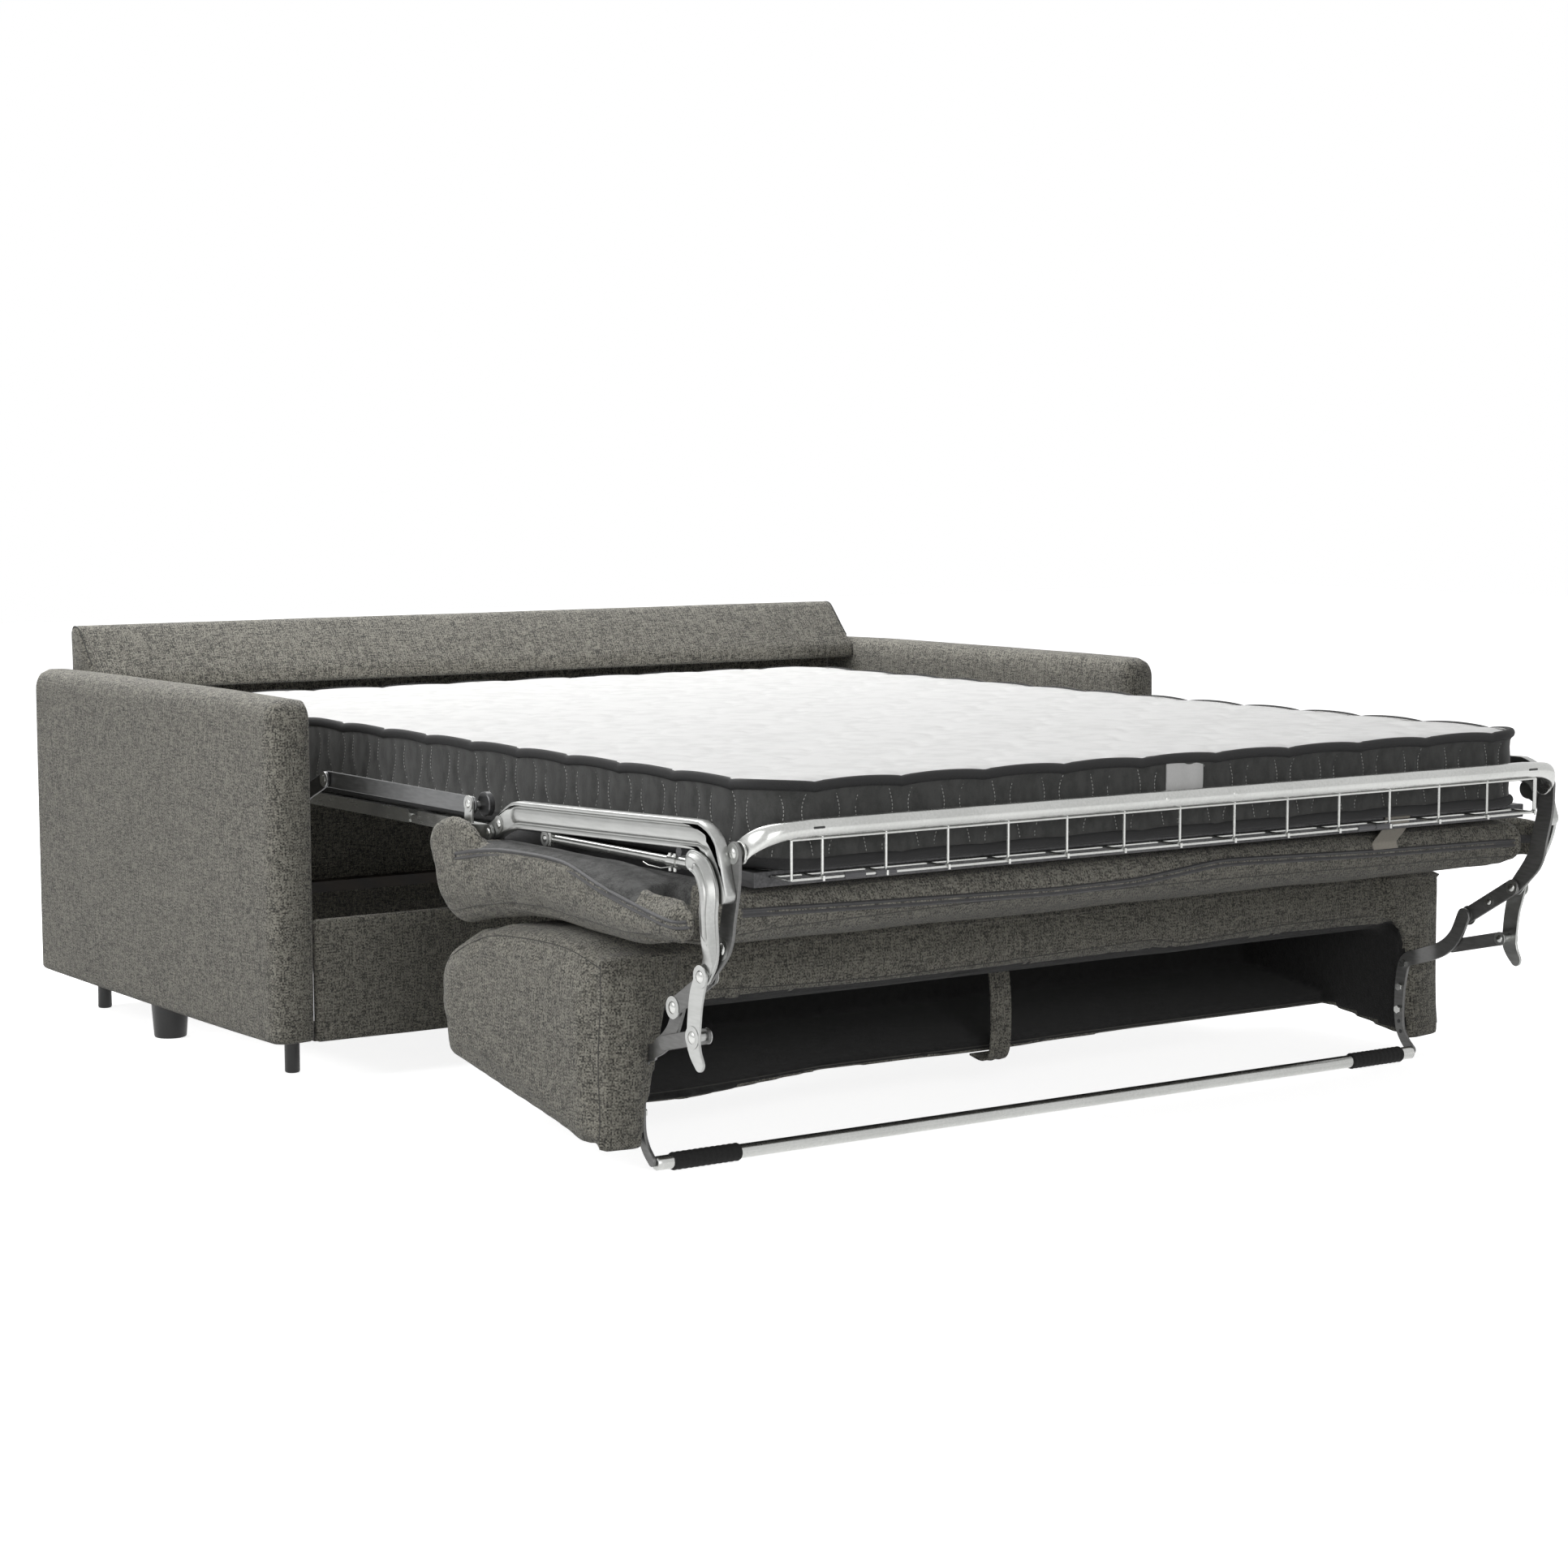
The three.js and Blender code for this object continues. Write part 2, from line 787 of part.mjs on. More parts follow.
// The thick round rail across the foot of the bed, bent down to a flat eye at each end.
function makeFootRail() {
  const bendX = (rail.halfStraight + rail.endX) / 2;
  const right = [
    at(rail.halfStraight, railPlace, rail.height),
    at(bendX, railPlace, rail.height - rail.bendDrop / 2),
    at(rail.endX - rail.radius / 2, (railPlace + rail.endPlace) / 2 + rail.bendDrop / 2,
      (rail.height + rail.endHeight) / 2),
    at(rail.endX, rail.endPlace, rail.endHeight),
  ];
  const left = right.map((point) => new THREE.Vector3(-point.x, point.y, point.z)).reverse();
  const tube = bentTube([...left, ...right], rail.radius, linkSides, bendSteps);
  const ends = [];
  for (const [, sign] of sides) {
    const eyeSpan = span(sign, rail.endX, dropPlate.inner - clearance - rail.endX);
    ends.push(pin(rail.endPlace, rail.endHeight, rail.eyeRadius, ...eyeSpan, linkSides));
  }
  addPiece("foot_rail", joined([tube, ...ends]), zinc, 0.3, 1);
}

// The wire guard under the rail that keeps the mattress in, welded to the foot frame.
function makeBasket() {
  const half = basket.halfWidth;
  const thick = basket.wire / 2;
  const top = rail.height - rail.radius - clearance - thick;
  const frameEnd = bed.footEnd + clearance;
  const end = half + thick;
  const wires = [basket.bottom, top].map((height) =>
    rod(at(-end, railPlace, height), at(end, railPlace, height), thick, wireSides));
  for (let index = 0; index <= basket.bays; index += 1) {
    const x = -half + (2 * half * index) / basket.bays;
    wires.push(rod(at(x, railPlace, basket.bottom - thick), at(x, railPlace, top), thick, wireSides));
    wires.push(rod(at(x, railPlace, basket.bottom), at(x, frameEnd, basket.bottom), thick, wireSides));
  }
  addPiece("front_basket", joined(wires), wireTone, 0.3, 1);
}

// The plates on each side of the foot section.
function makeFootPlates() {
  for (const [side, sign] of sides) {
    addPiece(`side_arm_${side}`, sideArmSolid(sign), zinc, 0.3, 1);
    const crankSpan = span(sign, crankInner, crank.thickness);
    const crankPoints = [
      [bar.endPlace, bar.endHeight],
      [crank.lowPlace, crank.lowHeight],
      [sideArm.rearPlace, sideArm.rearHeight],
    ];
    const crankPlate = strip(crankPoints, crank.width, ...crankSpan);
    addPiece(`crank_link_${side}`, crankPlate, steel, 0.35, 1);
    addPiece(`tie_tube_${side}`, tieTubeSolid(sign), zinc, 0.25, 1);
    const dropSpan = span(sign, dropPlate.inner, dropPlate.thickness);
    const pressed = strip([
      [stamped.topPlace, stamped.topHeight],
      [stamped.elbowPlace, stamped.elbowHeight],
      [stamped.lowPlace, stamped.lowHeight],
      [swing.topPlace, swing.topHeight],
    ], dropPlate.width, ...dropSpan);
    const hanger = strip([
      [rail.endPlace, rail.endHeight],
      [stamped.lowPlace, stamped.lowHeight],
    ], dropPlate.width, ...dropSpan);
    const drop = pressed.add(hanger);
    addPiece(`drop_plate_${side}`, drop, steel, 0.35, 1);
  }
}

// A deep channel: its outline with a pocket pressed into the outer face.
function sideArmSolid(sign) {
  const arm = sideArm;
  const half = arm.width / 2;
  const rear = [arm.rearPlace, arm.rearHeight];
  const shoulder = [arm.shoulderPlace, arm.shoulderTop - half];
  const noseTop = [arm.noseTopPlace, arm.noseTop - half];
  const nose = [arm.nosePlace - half, arm.noseHeight];
  const toe = [arm.toePlace, arm.toeHeight];
  const path = [rear, shoulder, noseTop, nose, toe];
  const belly = [
    shoulder,
    noseTop,
    [arm.noseTopPlace, arm.noseTop - arm.belly],
    [arm.shoulderPlace + arm.belly, arm.shoulderTop - arm.belly],
  ];
  const whole = span(sign, arm.inner, arm.depth);
  const pocket = span(sign, arm.inner + arm.web, arm.depth);
  const solid = strip(path, arm.width, ...whole).add(sideSolid(belly, ...whole));
  return solid.subtract(strip([shoulder, noseTop], arm.width - 2 * arm.web, ...pocket));
}

// A bright tube with a collar, held by a pin at each end.
function tieTubeSolid(sign) {
  const tie = tieTube;
  const x = sign * tie.x;
  const rear = at(x, tie.rearPlace, tie.rearHeight);
  const front = at(x, tie.frontPlace, tie.frontHeight);
  const collarStart = at(x, tie.collarPlace - tie.collarLength / 2, tie.frontHeight);
  const collarEnd = at(x, tie.collarPlace + tie.collarLength / 2, tie.frontHeight);
  const pinSpan = span(sign, bed.halfWidth + clearance, tie.x - bed.halfWidth - clearance);
  return joined([
    rod(rear, front, tie.radius, linkSides),
    rod(collarStart, collarEnd, tie.collarRadius, linkSides),
    pin(tie.rearPlace + tie.pinRadius, tie.rearHeight, tie.pinRadius, ...pinSpan),
    pin(tie.frontPlace - tie.pinRadius, tie.frontHeight, tie.pinRadius, ...pinSpan),
  ]);
}

// A loop with rounded corners, as [distance, height] points.
function roundedLoop(corners, radius, steps) {
  const loop = [];
  corners.forEach((corner, index) => {
    const before = corners[(index + corners.length - 1) % corners.length];
    const after = corners[(index + 1) % corners.length];
    const point = new THREE.Vector2(...corner);
    const behind = new THREE.Vector2(...before).sub(point);
    const ahead = new THREE.Vector2(...after).sub(point);
    const start = point.clone().add(behind.clone().setLength(Math.min(radius, behind.length() / 2)));
    const end = point.clone().add(ahead.clone().setLength(Math.min(radius, ahead.length() / 2)));
    const curve = new THREE.QuadraticBezierCurve(start, point, end);
    loop.push(...curve.getPoints(steps).map((spot) => [spot.x, spot.y]));
  });
  return loop;
}

// A stuffed form: one side view along X, drawn in and thinned towards both ends.
function cushionSolid(loop, form, softenBelow) {
  const heights = loop.map(([, height]) => height);
  const top = Math.max(...heights);
  const bottom = Math.min(...heights);
  const centre = loop.reduce((sum, [distance]) => sum + distance, 0) / loop.length;
  const middle = (top + bottom) / 2;
  const rings = stations(form.halfLength, form.endRounding, innerStations).map((x) => {
    const draw = 1 - form.endDrawShare * endShare(x, form.halfLength, form.endRounding);
    const fromEnd = (form.halfLength - Math.abs(x)) / form.crownLength;
    const soft = form.crown * Math.max(0, 1 - fromEnd) ** 2;
    return loop.map(([distance, height]) => {
      const lift = softenBelow ? (top - height) / (top - bottom) : (bottom - height) / (top - bottom);
      const drawnShare = ((1 - draw) * form.endRounding) / (centre - form.rear);
      const drawnPlace = centre + (distance - centre) * (1 - drawnShare);
      return at(x, drawnPlace, middle + (height - middle) * draw + soft * lift);
    });
  });
  return loft(rings);
}

// The seat cushion lies face down in front of the sofa when the bed is out.
function makeSeat() {
  const loop = roundedLoop([
    [seat.rear, seat.top],
    [seat.rear, seat.rearBottom],
    [seat.rear + seat.round, seat.bottom],
    [seat.slopePlace, seat.bottom],
    [seat.front, seat.noseBottom],
    [seat.front, seat.top],
  ], seat.round, arcSteps);
  const cushion = cushionSolid(loop, seat, true);
  const slots = sides.map(([, sign]) => {
    const slotSpan = span(sign, seat.slotInner, seat.slotOuter - seat.slotInner);
    return block(...slotSpan, seat.slotPlace, seat.front + overrun, seat.bottom - overrun, seat.top + overrun);
  });
  addPiece("seat_cushion", cushion.subtract(joined(slots)), cloth, 0.95);
  const panel = block(-seat.panelHalf, seat.panelHalf, seat.panelRear, seat.panelFront,
    seat.top + clearance, bed.frameBottom - clearance);
  addPiece("seat_panel", panel, lining, 0.95);
}

// The backrest cover is a deep hood: open at its front, closed at its ends by padded wings.
function makeBackrest() {
  const loop = roundedLoop([
    [hood.rear, hood.rearTop],
    [hood.rear, hood.rearBottom],
    [hood.front, hood.frontBottom],
    [hood.front, hood.top],
    [hood.shoulderPlace, hood.top],
  ], hood.round, arcSteps);
  const wingFace = hood.halfLength - hood.wing;
  const slope = (hood.rearBottom - hood.frontBottom) / (hood.front - hood.rear);
  const floorTop = (distance) => hood.rearBottom - slope * (distance - hood.rear) + hood.floorThickness;
  const innerRear = hood.rear + hood.rearWall;
  const below = hood.frontBottom - overrun;
  const hollow = [
    [innerRear, hood.liningTop],
    [innerRear, floorTop(innerRear)],
    [hood.floorEnd, floorTop(hood.floorEnd)],
    [hood.floorEnd, below],
    [hood.front + overrun, below],
    [hood.front + overrun, hood.skirtBottom],
    [hood.shoulderPlace, hood.skirtBottom],
  ];
  const shell = cushionSolid(loop, hood, false).subtract(sideSolid(hollow, -wingFace, wingFace));
  addPiece("backrest_cover", shell, cloth, 0.95);
  for (const [side, sign] of sides) {
    addPiece(`backrest_link_${side}`, backrestLink(sign), charcoal, 0.45, 0.8);
    addPiece(`backrest_bracket_${side}`, backrestBracket(sign), charcoal, 0.45, 0.8);
  }
}

// Two plates joined by a spacer, with stub pins either side of the plate that they hang from.
function backrestLink(sign) {
  const top = [swing.topPlace, swing.topHeight];
  const low = [swing.lowPlace, swing.lowHeight];
  const hook = [swing.hookPlace, swing.hookHeight];
  const foot = [swing.footPlace, swing.footHeight];
  const innerSpan = span(sign, swing.inner, swing.thickness);
  const outerSpan = span(sign, swing.outer, swing.thickness);
  const lap = swing.thickness / 2;
  const innerTop = swing.inner + swing.thickness;
  const stub = dropPlate.inner - clearance - innerTop + lap;
  const outerStart = dropPlate.inner + dropPlate.thickness + clearance;
  return joined([
    strip([top, low], swing.width, ...innerSpan),
    strip([top, low], swing.width, ...outerSpan),
    strip([low, hook, foot], swing.tailWidth, ...outerSpan),
    pin(...low, swing.pinRadius, ...span(sign, innerTop - lap, swing.outer - innerTop + 2 * lap)),
    pin(...top, swing.pinRadius, ...span(sign, innerTop - lap, stub)),
    pin(...top, swing.pinRadius, ...span(sign, outerStart, swing.outer - outerStart + lap)),
  ]);
}

// An ear at the link, a plate on the wing's inner face and a foot that holds the floor tube.
function backrestBracket(sign) {
  const ear = [swing.lowPlace, swing.lowHeight];
  const knee = [hood.front + bracket.kneeReach, bracket.kneeHeight];
  const bolts = bracket.boltHeights.map((height) => [hood.front - bracket.boltInset, height]);
  const toe = [hood.front - bracket.toeInset, bracket.toeHeight];
  const tube = [floorTube.place, floorTube.sleeveRadius];
  const earEnd = bracket.earInner + bracket.earThickness;
  const lap = bracket.boltThickness / 2;
  const plateSpan = span(sign, bracket.plateInner, bracket.plateThickness);
  const stub = swing.inner - clearance - earEnd + lap;
  const headSpan = span(sign, bracket.plateInner - bracket.boltThickness, bracket.boltThickness + lap);
  const heads = bolts.map((bolt) => pin(...bolt, bracket.boltRadius, ...headSpan, boltSides));
  return joined([
    strip([ear, knee], bracket.width, ...span(sign, bracket.earInner, bracket.earThickness)),
    pin(...knee, bracket.width / 2, ...span(sign, bracket.plateInner, earEnd - bracket.plateInner), linkSides),
    strip([knee, ...bolts, toe, tube], bracket.width, ...plateSpan),
    pin(...ear, swing.pinRadius, ...span(sign, earEnd - lap, stub)),
    ...heads,
  ]);
}

// The tube that stands on the floor, with a soft sleeve near each end.
function makeFloorTube() {
  const end = bracket.plateInner - clearance;
  const bore = floorTube.radius + clearance;
  const height = floorTube.sleeveRadius;
  addPiece("floor_tube", pin(floorTube.place, height, floorTube.radius, -end, end, roundSides), zinc, 0.25, 1);
  for (const [side, sign] of sides) {
    const start = floorTube.sleeveEnd - floorTube.sleeveLength;
    const holeSpan = span(sign, start - overrun, floorTube.sleeveLength + 2 * overrun);
    const outerSpan = span(sign, start, floorTube.sleeveLength);
    const outer = pin(floorTube.place, height, height, ...outerSpan, roundSides);
    const hole = pin(floorTube.place, height, bore, ...holeSpan, roundSides);
    addPiece(`tube_sleeve_${side}`, outer.subtract(hole), blackPlastic, 0.8);
  }
}

// The mattress is one long pad with a piped edge top and bottom, cut on its fold lines.
function makeMattress() {
  const low = mattressBottom - overrun;
  const high = mattressTop + mattress.crown + overrun;
  const half = mattress.halfWidth + overrun;
  const centre = (bed.upperHinge + bed.footHinge) / 2;
  const pad = mattressSolid();
  const rearEnd = [mattress.headEnd - overrun, mattress.headEnd - overrun];
  const frontEnd = [mattress.footEnd + overrun, mattress.footEnd + overrun];
  const headCut = [mattress.headFoldBottom, mattress.headFoldTop];
  const upperRear = foldFace(bed.upperHinge, -1, low, high);
  const upperFront = foldFace(bed.upperHinge, 1, low, high);
  const footRear = foldFace(bed.footHinge, -1, low, high);
  const footFront = foldFace(bed.footHinge, 1, low, high);
  const pieces = [
    ["mattress_head", rearEnd, headCut, 0, -clearance],
    ["mattress_upper", headCut, upperRear, 0, 0],
    ["mattress_upper_fold", upperRear, upperFront, clearance, -clearance],
    ["mattress_middle", upperFront, footRear, 0, 0],
    ["mattress_foot_fold", footRear, footFront, clearance, -clearance],
    ["mattress_foot", footFront, frontEnd, 0, 0],
  ];
  for (const [name, rear, front, rearShift, frontShift] of pieces) {
    let outline = [
      [rear[0] + rearShift, low],
      [front[0] + frontShift, low],
      [front[1] + frontShift, high],
      [rear[1] + rearShift, high],
    ];
    if (rear[1] > front[1]) {
      const apex = low + (front[0] - rear[0]) / 2;
      outline = [outline[0], outline[1], [(rear[0] + front[0]) / 2, apex]];
    }
    let piece = pad.intersect(sideSolid(outline, -half, half));
    if (name === "mattress_upper_fold") {
      piece = piece.intersect(block(-half, half, mattress.headEnd, centre - clearance / 2, low, high));
    }
    if (name === "mattress_foot_fold") {
      piece = piece.intersect(block(-half, half, centre + clearance / 2, mattress.footEnd, low, high));
    }
    addPiece(name, piece, whiteKnit, 0.9);
  }
}

// Where a fold's face meets the low and the high cutting plane: it leans 45 degrees from the hinge.
function foldFace(hingePlace, direction, low, high) {
  return [low, high].map((height) => hingePlace + direction * (height - bed.hingeHeight + mattress.foldSlack));
}

function mattressSolid() {
  const pad = mattress;
  const levels = [
    [pad.piping * 2, 0],
    [pad.piping / 2, pad.piping / 2],
    [0, pad.piping],
    [pad.piping / 2, pad.piping * 2],
    ...pad.waistShares.map((share) => [pad.waist, pad.thickness * share]),
    [pad.piping / 2, pad.thickness - 2 * pad.piping],
    [0, pad.thickness - pad.piping],
    [pad.piping, pad.thickness],
    [pad.crownInset, pad.thickness + pad.crown * pad.crownInsetShare],
    [pad.crownFlat, pad.thickness + pad.crown],
  ];
  const rings = levels.map(([inset, rise]) => {
    const half = pad.halfWidth - inset;
    const rear = pad.headEnd + inset;
    const front = pad.footEnd - inset;
    const radius = Math.max(pad.cornerRadius - inset, pad.leastRadius);
    return roundedLoop([[rear, -half], [front, -half], [front, half], [rear, half]], radius, cornerSteps)
      .map(([distance, x]) => at(x, distance, mattressBottom + rise));
  });
  return loft(rings);
}

export default sofaBed;
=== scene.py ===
import math
import bmesh
import bpy
import numpy as np
from mathutils import Matrix, Vector
from mathutils.bvhtree import BVHTree


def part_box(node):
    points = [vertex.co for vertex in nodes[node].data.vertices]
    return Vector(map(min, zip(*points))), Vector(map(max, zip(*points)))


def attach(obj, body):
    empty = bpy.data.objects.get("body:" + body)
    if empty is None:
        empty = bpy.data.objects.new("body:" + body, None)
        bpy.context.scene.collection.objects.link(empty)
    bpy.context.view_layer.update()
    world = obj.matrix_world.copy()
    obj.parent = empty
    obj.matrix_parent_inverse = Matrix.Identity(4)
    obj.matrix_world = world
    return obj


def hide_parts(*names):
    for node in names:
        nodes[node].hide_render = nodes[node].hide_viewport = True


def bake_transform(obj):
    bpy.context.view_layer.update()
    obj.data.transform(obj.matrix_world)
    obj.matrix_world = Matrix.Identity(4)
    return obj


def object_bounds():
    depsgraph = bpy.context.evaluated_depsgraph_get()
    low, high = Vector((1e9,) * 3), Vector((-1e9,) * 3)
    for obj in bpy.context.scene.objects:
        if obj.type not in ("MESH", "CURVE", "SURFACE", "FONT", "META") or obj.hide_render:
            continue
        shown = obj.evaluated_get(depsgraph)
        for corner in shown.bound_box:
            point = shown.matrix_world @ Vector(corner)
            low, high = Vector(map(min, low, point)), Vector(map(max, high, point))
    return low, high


# A two seat sleeper sofa with its bed pulled out. Metres, +X to the right, -Y to the front, +Z up.
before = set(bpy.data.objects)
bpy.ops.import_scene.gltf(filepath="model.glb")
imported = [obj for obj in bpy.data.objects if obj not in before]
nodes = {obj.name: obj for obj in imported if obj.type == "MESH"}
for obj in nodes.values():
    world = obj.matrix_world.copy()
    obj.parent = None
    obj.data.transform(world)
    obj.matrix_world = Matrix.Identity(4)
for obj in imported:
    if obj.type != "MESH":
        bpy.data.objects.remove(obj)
cadLow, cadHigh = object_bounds()
rearFace = cadHigh.y  # every place f below is a distance in front of the sofa's rear face
bothSides = (("left", -1), ("right", 1))


def row(place):
    return rearFace - place


def spot(x, place, height):
    return Vector((x, row(place), height))


# The camera, found from the photo's own corners and edges.
photo = {"size": 1932, "focal": 4001.4, "sensor": 36, "yaw": 34.546, "pitch": 5.729, "roll": -0.1605}
photo["place"] = (-3.0219, -4.3952, 0.9622)


def makeCamera():
    yaw, pitch, roll = (math.radians(photo[key]) for key in ("yaw", "pitch", "roll"))
    ahead = Vector((math.sin(yaw) * math.cos(pitch), math.cos(yaw) * math.cos(pitch), -math.sin(pitch)))
    right = Vector((math.cos(yaw), -math.sin(yaw), 0))
    up = right.cross(ahead)
    across = right * math.cos(roll) + up * math.sin(roll)
    upright = up * math.cos(roll) - right * math.sin(roll)
    data = bpy.data.cameras.new("photoCamera")
    data.sensor_width = photo["sensor"]
    data.lens = photo["focal"] / photo["size"] * photo["sensor"]
    data.clip_start, data.clip_end = 0.1, 60
    camera = addObject("photoCamera", data)
    turn = Matrix([across, upright, -ahead]).transposed()
    camera.matrix_world = Matrix.Translation(photo["place"]) @ turn.to_4x4()
    bpy.context.scene.camera = camera


# Soft daylight from the upper left, and a pale floor that runs out to white.
studio = {"floorHalf": 14.0, "skyStrength": 0.17, "floorSeen": (0.96,) * 3, "floorBounce": (0.24,) * 3,
          "floorLift": 0.85, "floorFade": (2.2, 5.0)}
lamps = {
    "key": {"place": (-3.6, -0.2, 2.4), "aim": (0, -0.2, 0.3), "size": 2.2, "power": 50},
    "front": {"place": (-1.4, -3.5, 1.1), "aim": (0, -0.8, 0.25), "size": 1.7, "power": 21},
    "top": {"place": (0.2, 2.6, 3.8), "aim": (0, 0.2, 0.5), "size": 2.6, "power": 145},
}


def makeStudio():
    scene = bpy.context.scene
    scene.view_settings.view_transform = "Standard"
    scene.world = bpy.data.worlds.new("studio")
    scene.world.use_nodes = True
    scene.world.node_tree.nodes.clear()
    sky = Wiring(scene.world.node_tree)
    lit = sky.node("ShaderNodeBackground", None, {"Color": (1, 1, 1), "Strength": studio["skyStrength"]})
    pale = sky.node("ShaderNodeBackground", None, {"Color": (1, 1, 1)})
    mixed = sky.node("ShaderNodeMixShader", None, {0: sky.plainRays(), 1: lit, 2: pale})
    sky.node("ShaderNodeOutputWorld", None, {0: mixed})
    for name, lamp in lamps.items():
        light = bpy.data.lights.new(name + "Lamp", "AREA")
        light.energy, light.size = lamp["power"], lamp["size"]
        holder = addObject(name + "Lamp", light)
        holder.location = lamp["place"]
        aim = Vector(lamp["aim"]) - Vector(lamp["place"])
        holder.rotation_euler = aim.to_track_quat("-Z", "Y").to_euler()
    half = studio["floorHalf"]
    corners = [(-half, -half, 0), (half, -half, 0), (half, half, 0), (-half, half, 0)]
    floor = makeMesh("floor", corners, [(0, 1, 2, 3)], floorFinish())


# Shader maths as plain sums: a Tone holds a socket, and each operator adds its Math node.
class Tone:
    def __init__(self, finish, socket):
        self.finish = finish
        self.socket = socket

    def maths(self, operation, first, second=0.5):
        return self.finish.node("ShaderNodeMath", {"operation": operation}, {0: first, 1: second})

    def __add__(self, other):
        return self.maths("ADD", self, other)

    def __sub__(self, other):
        return self.maths("SUBTRACT", self, other)

    def __rsub__(self, other):
        return self.maths("SUBTRACT", other, self)

    def __mul__(self, other):
        return self.maths("MULTIPLY", self, other)

    def __truediv__(self, other):
        return self.maths("DIVIDE", self, other)

    def __pow__(self, other):
        return self.maths("POWER", self, other)

    __radd__ = __add__
    __rmul__ = __mul__

    def floor(self):
        return self.maths("FLOOR", self)

    def part(self):
        return self.maths("FRACT", self)

    def sine(self):
        return self.maths("SINE", self)

    def size(self):
        return self.maths("ABSOLUTE", self)

    def over(self, limit):
        return self.maths("GREATER_THAN", self, limit)

    def most(self, other):
        return self.maths("MAXIMUM", self, other)

    def between(self, low, high, start=0.0, end=1.0):
        settings = {"interpolation_type": "SMOOTHSTEP"}
        return self.finish.node("ShaderNodeMapRange", settings, {0: self, 1: low, 2: high, 3: start, 4: end})


# One method makes every node of a tree and fills its sockets with values or with other nodes' tones.
class Wiring:
    def __init__(self, tree):
        self.tree = tree

    def node(self, kind, settings=None, sockets=None, output=0):
        made = self.tree.nodes.new(kind)
        for key, value in (settings or {}).items():
            setattr(made, key, value)
        for key, value in (sockets or {}).items():
            self.feed(made.inputs[key], value)
        return Tone(self, made.outputs[output]) if made.outputs else None

    def feed(self, socket, value):
        if isinstance(value, Tone):
            self.tree.links.new(value.socket, socket)
        else:
            socket.default_value = (*value, 1) if socket.type == "RGBA" else value

    # 1 for the camera's, mirrors' and panes' rays, which see the pale backdrop, and 0 for the light's.
    def plainRays(self):
        rays = self.node("ShaderNodeLightPath")
        seen = rays
        for kind in ("Is Glossy Ray", "Is Transmission Ray"):
            seen = seen.most(Tone(self, rays.socket.node.outputs[kind]))
        return seen


class Finish(Wiring):
    def __init__(self, name, roughness=0.5, metallic=0.0, sheen=0.0):
        self.material = bpy.data.materials.new(name)
        self.material.use_nodes = True
        super().__init__(self.material.node_tree)
        self.shader = self.tree.nodes["Principled BSDF"]
        for key, value in {"Roughness": roughness, "Metallic": metallic, "Sheen Weight": sheen}.items():
            self.shader.inputs[key].default_value = value

    def place(self, kind="Object"):
        return self.node("ShaderNodeTexCoord", None, None, kind)

    def across(self, kind="Object"):
        split = self.node("ShaderNodeSeparateXYZ", None, {0: self.place(kind)})
        return [Tone(self, split.socket.node.outputs[index]) for index in range(3)]

    def noise(self, scale, detail=2.0, place=None, roughness=0.5):
        sockets = {"Vector": place or self.place(), "Scale": scale, "Detail": detail, "Roughness": roughness}
        return self.node("ShaderNodeTexNoise", None, sockets)

    def stretched(self, scales):
        return self.node("ShaderNodeMapping", None, {"Vector": self.place(), "Scale": scales})

    # A wave from 0 to 1 along a coordinate, one for each pitch.
    def wave(self, along, pitch):
        return (along * (2 * math.pi / pitch)).sine() * 0.5 + 0.5

    def mix(self, factor, first, second):
        return self.node("ShaderNodeMix", {"data_type": "RGBA"}, {0: factor, 6: first, 7: second}, 2)

    def bump(self, height, distance, strength=1.0):
        sockets = {"Height": height, "Distance": distance, "Strength": strength}
        self.paint(Normal=self.node("ShaderNodeBump", None, sockets))

    def paint(self, **sockets):
        for key, value in sockets.items():
            self.feed(self.shader.inputs[key.replace("_", " ")], value)
        return self.material


def floorFinish():
    floor = Finish("paleFloor", roughness=0.9)
    seen = floor.plainRays()
    x, y = floor.across()[:2]
    away = ((x * x + y * y) ** 0.5).between(*studio["floorFade"], studio["floorLift"], 1.0)
    floor.shader.inputs["Emission Strength"].default_value = 1.0
    glow = floor.mix(seen * away, (0.0, 0.0, 0.0), (1.0, 1.0, 1.0))
    bounce = floor.mix(seen, studio["floorBounce"], studio["floorSeen"])
    return floor.paint(Base_Color=bounce, Emission_Color=glow)


# The upholstery: a plain weave of speckled threads, one thread about every two millimetres.
weave = {
    "pitch": 0.0022,
    "light": (0.47, 0.449, 0.382),
    "dark": (0.042, 0.0402, 0.0335),
    "relief": 0.0007,
    "slub": 0.11,
    "threadSpread": 3.71,
}


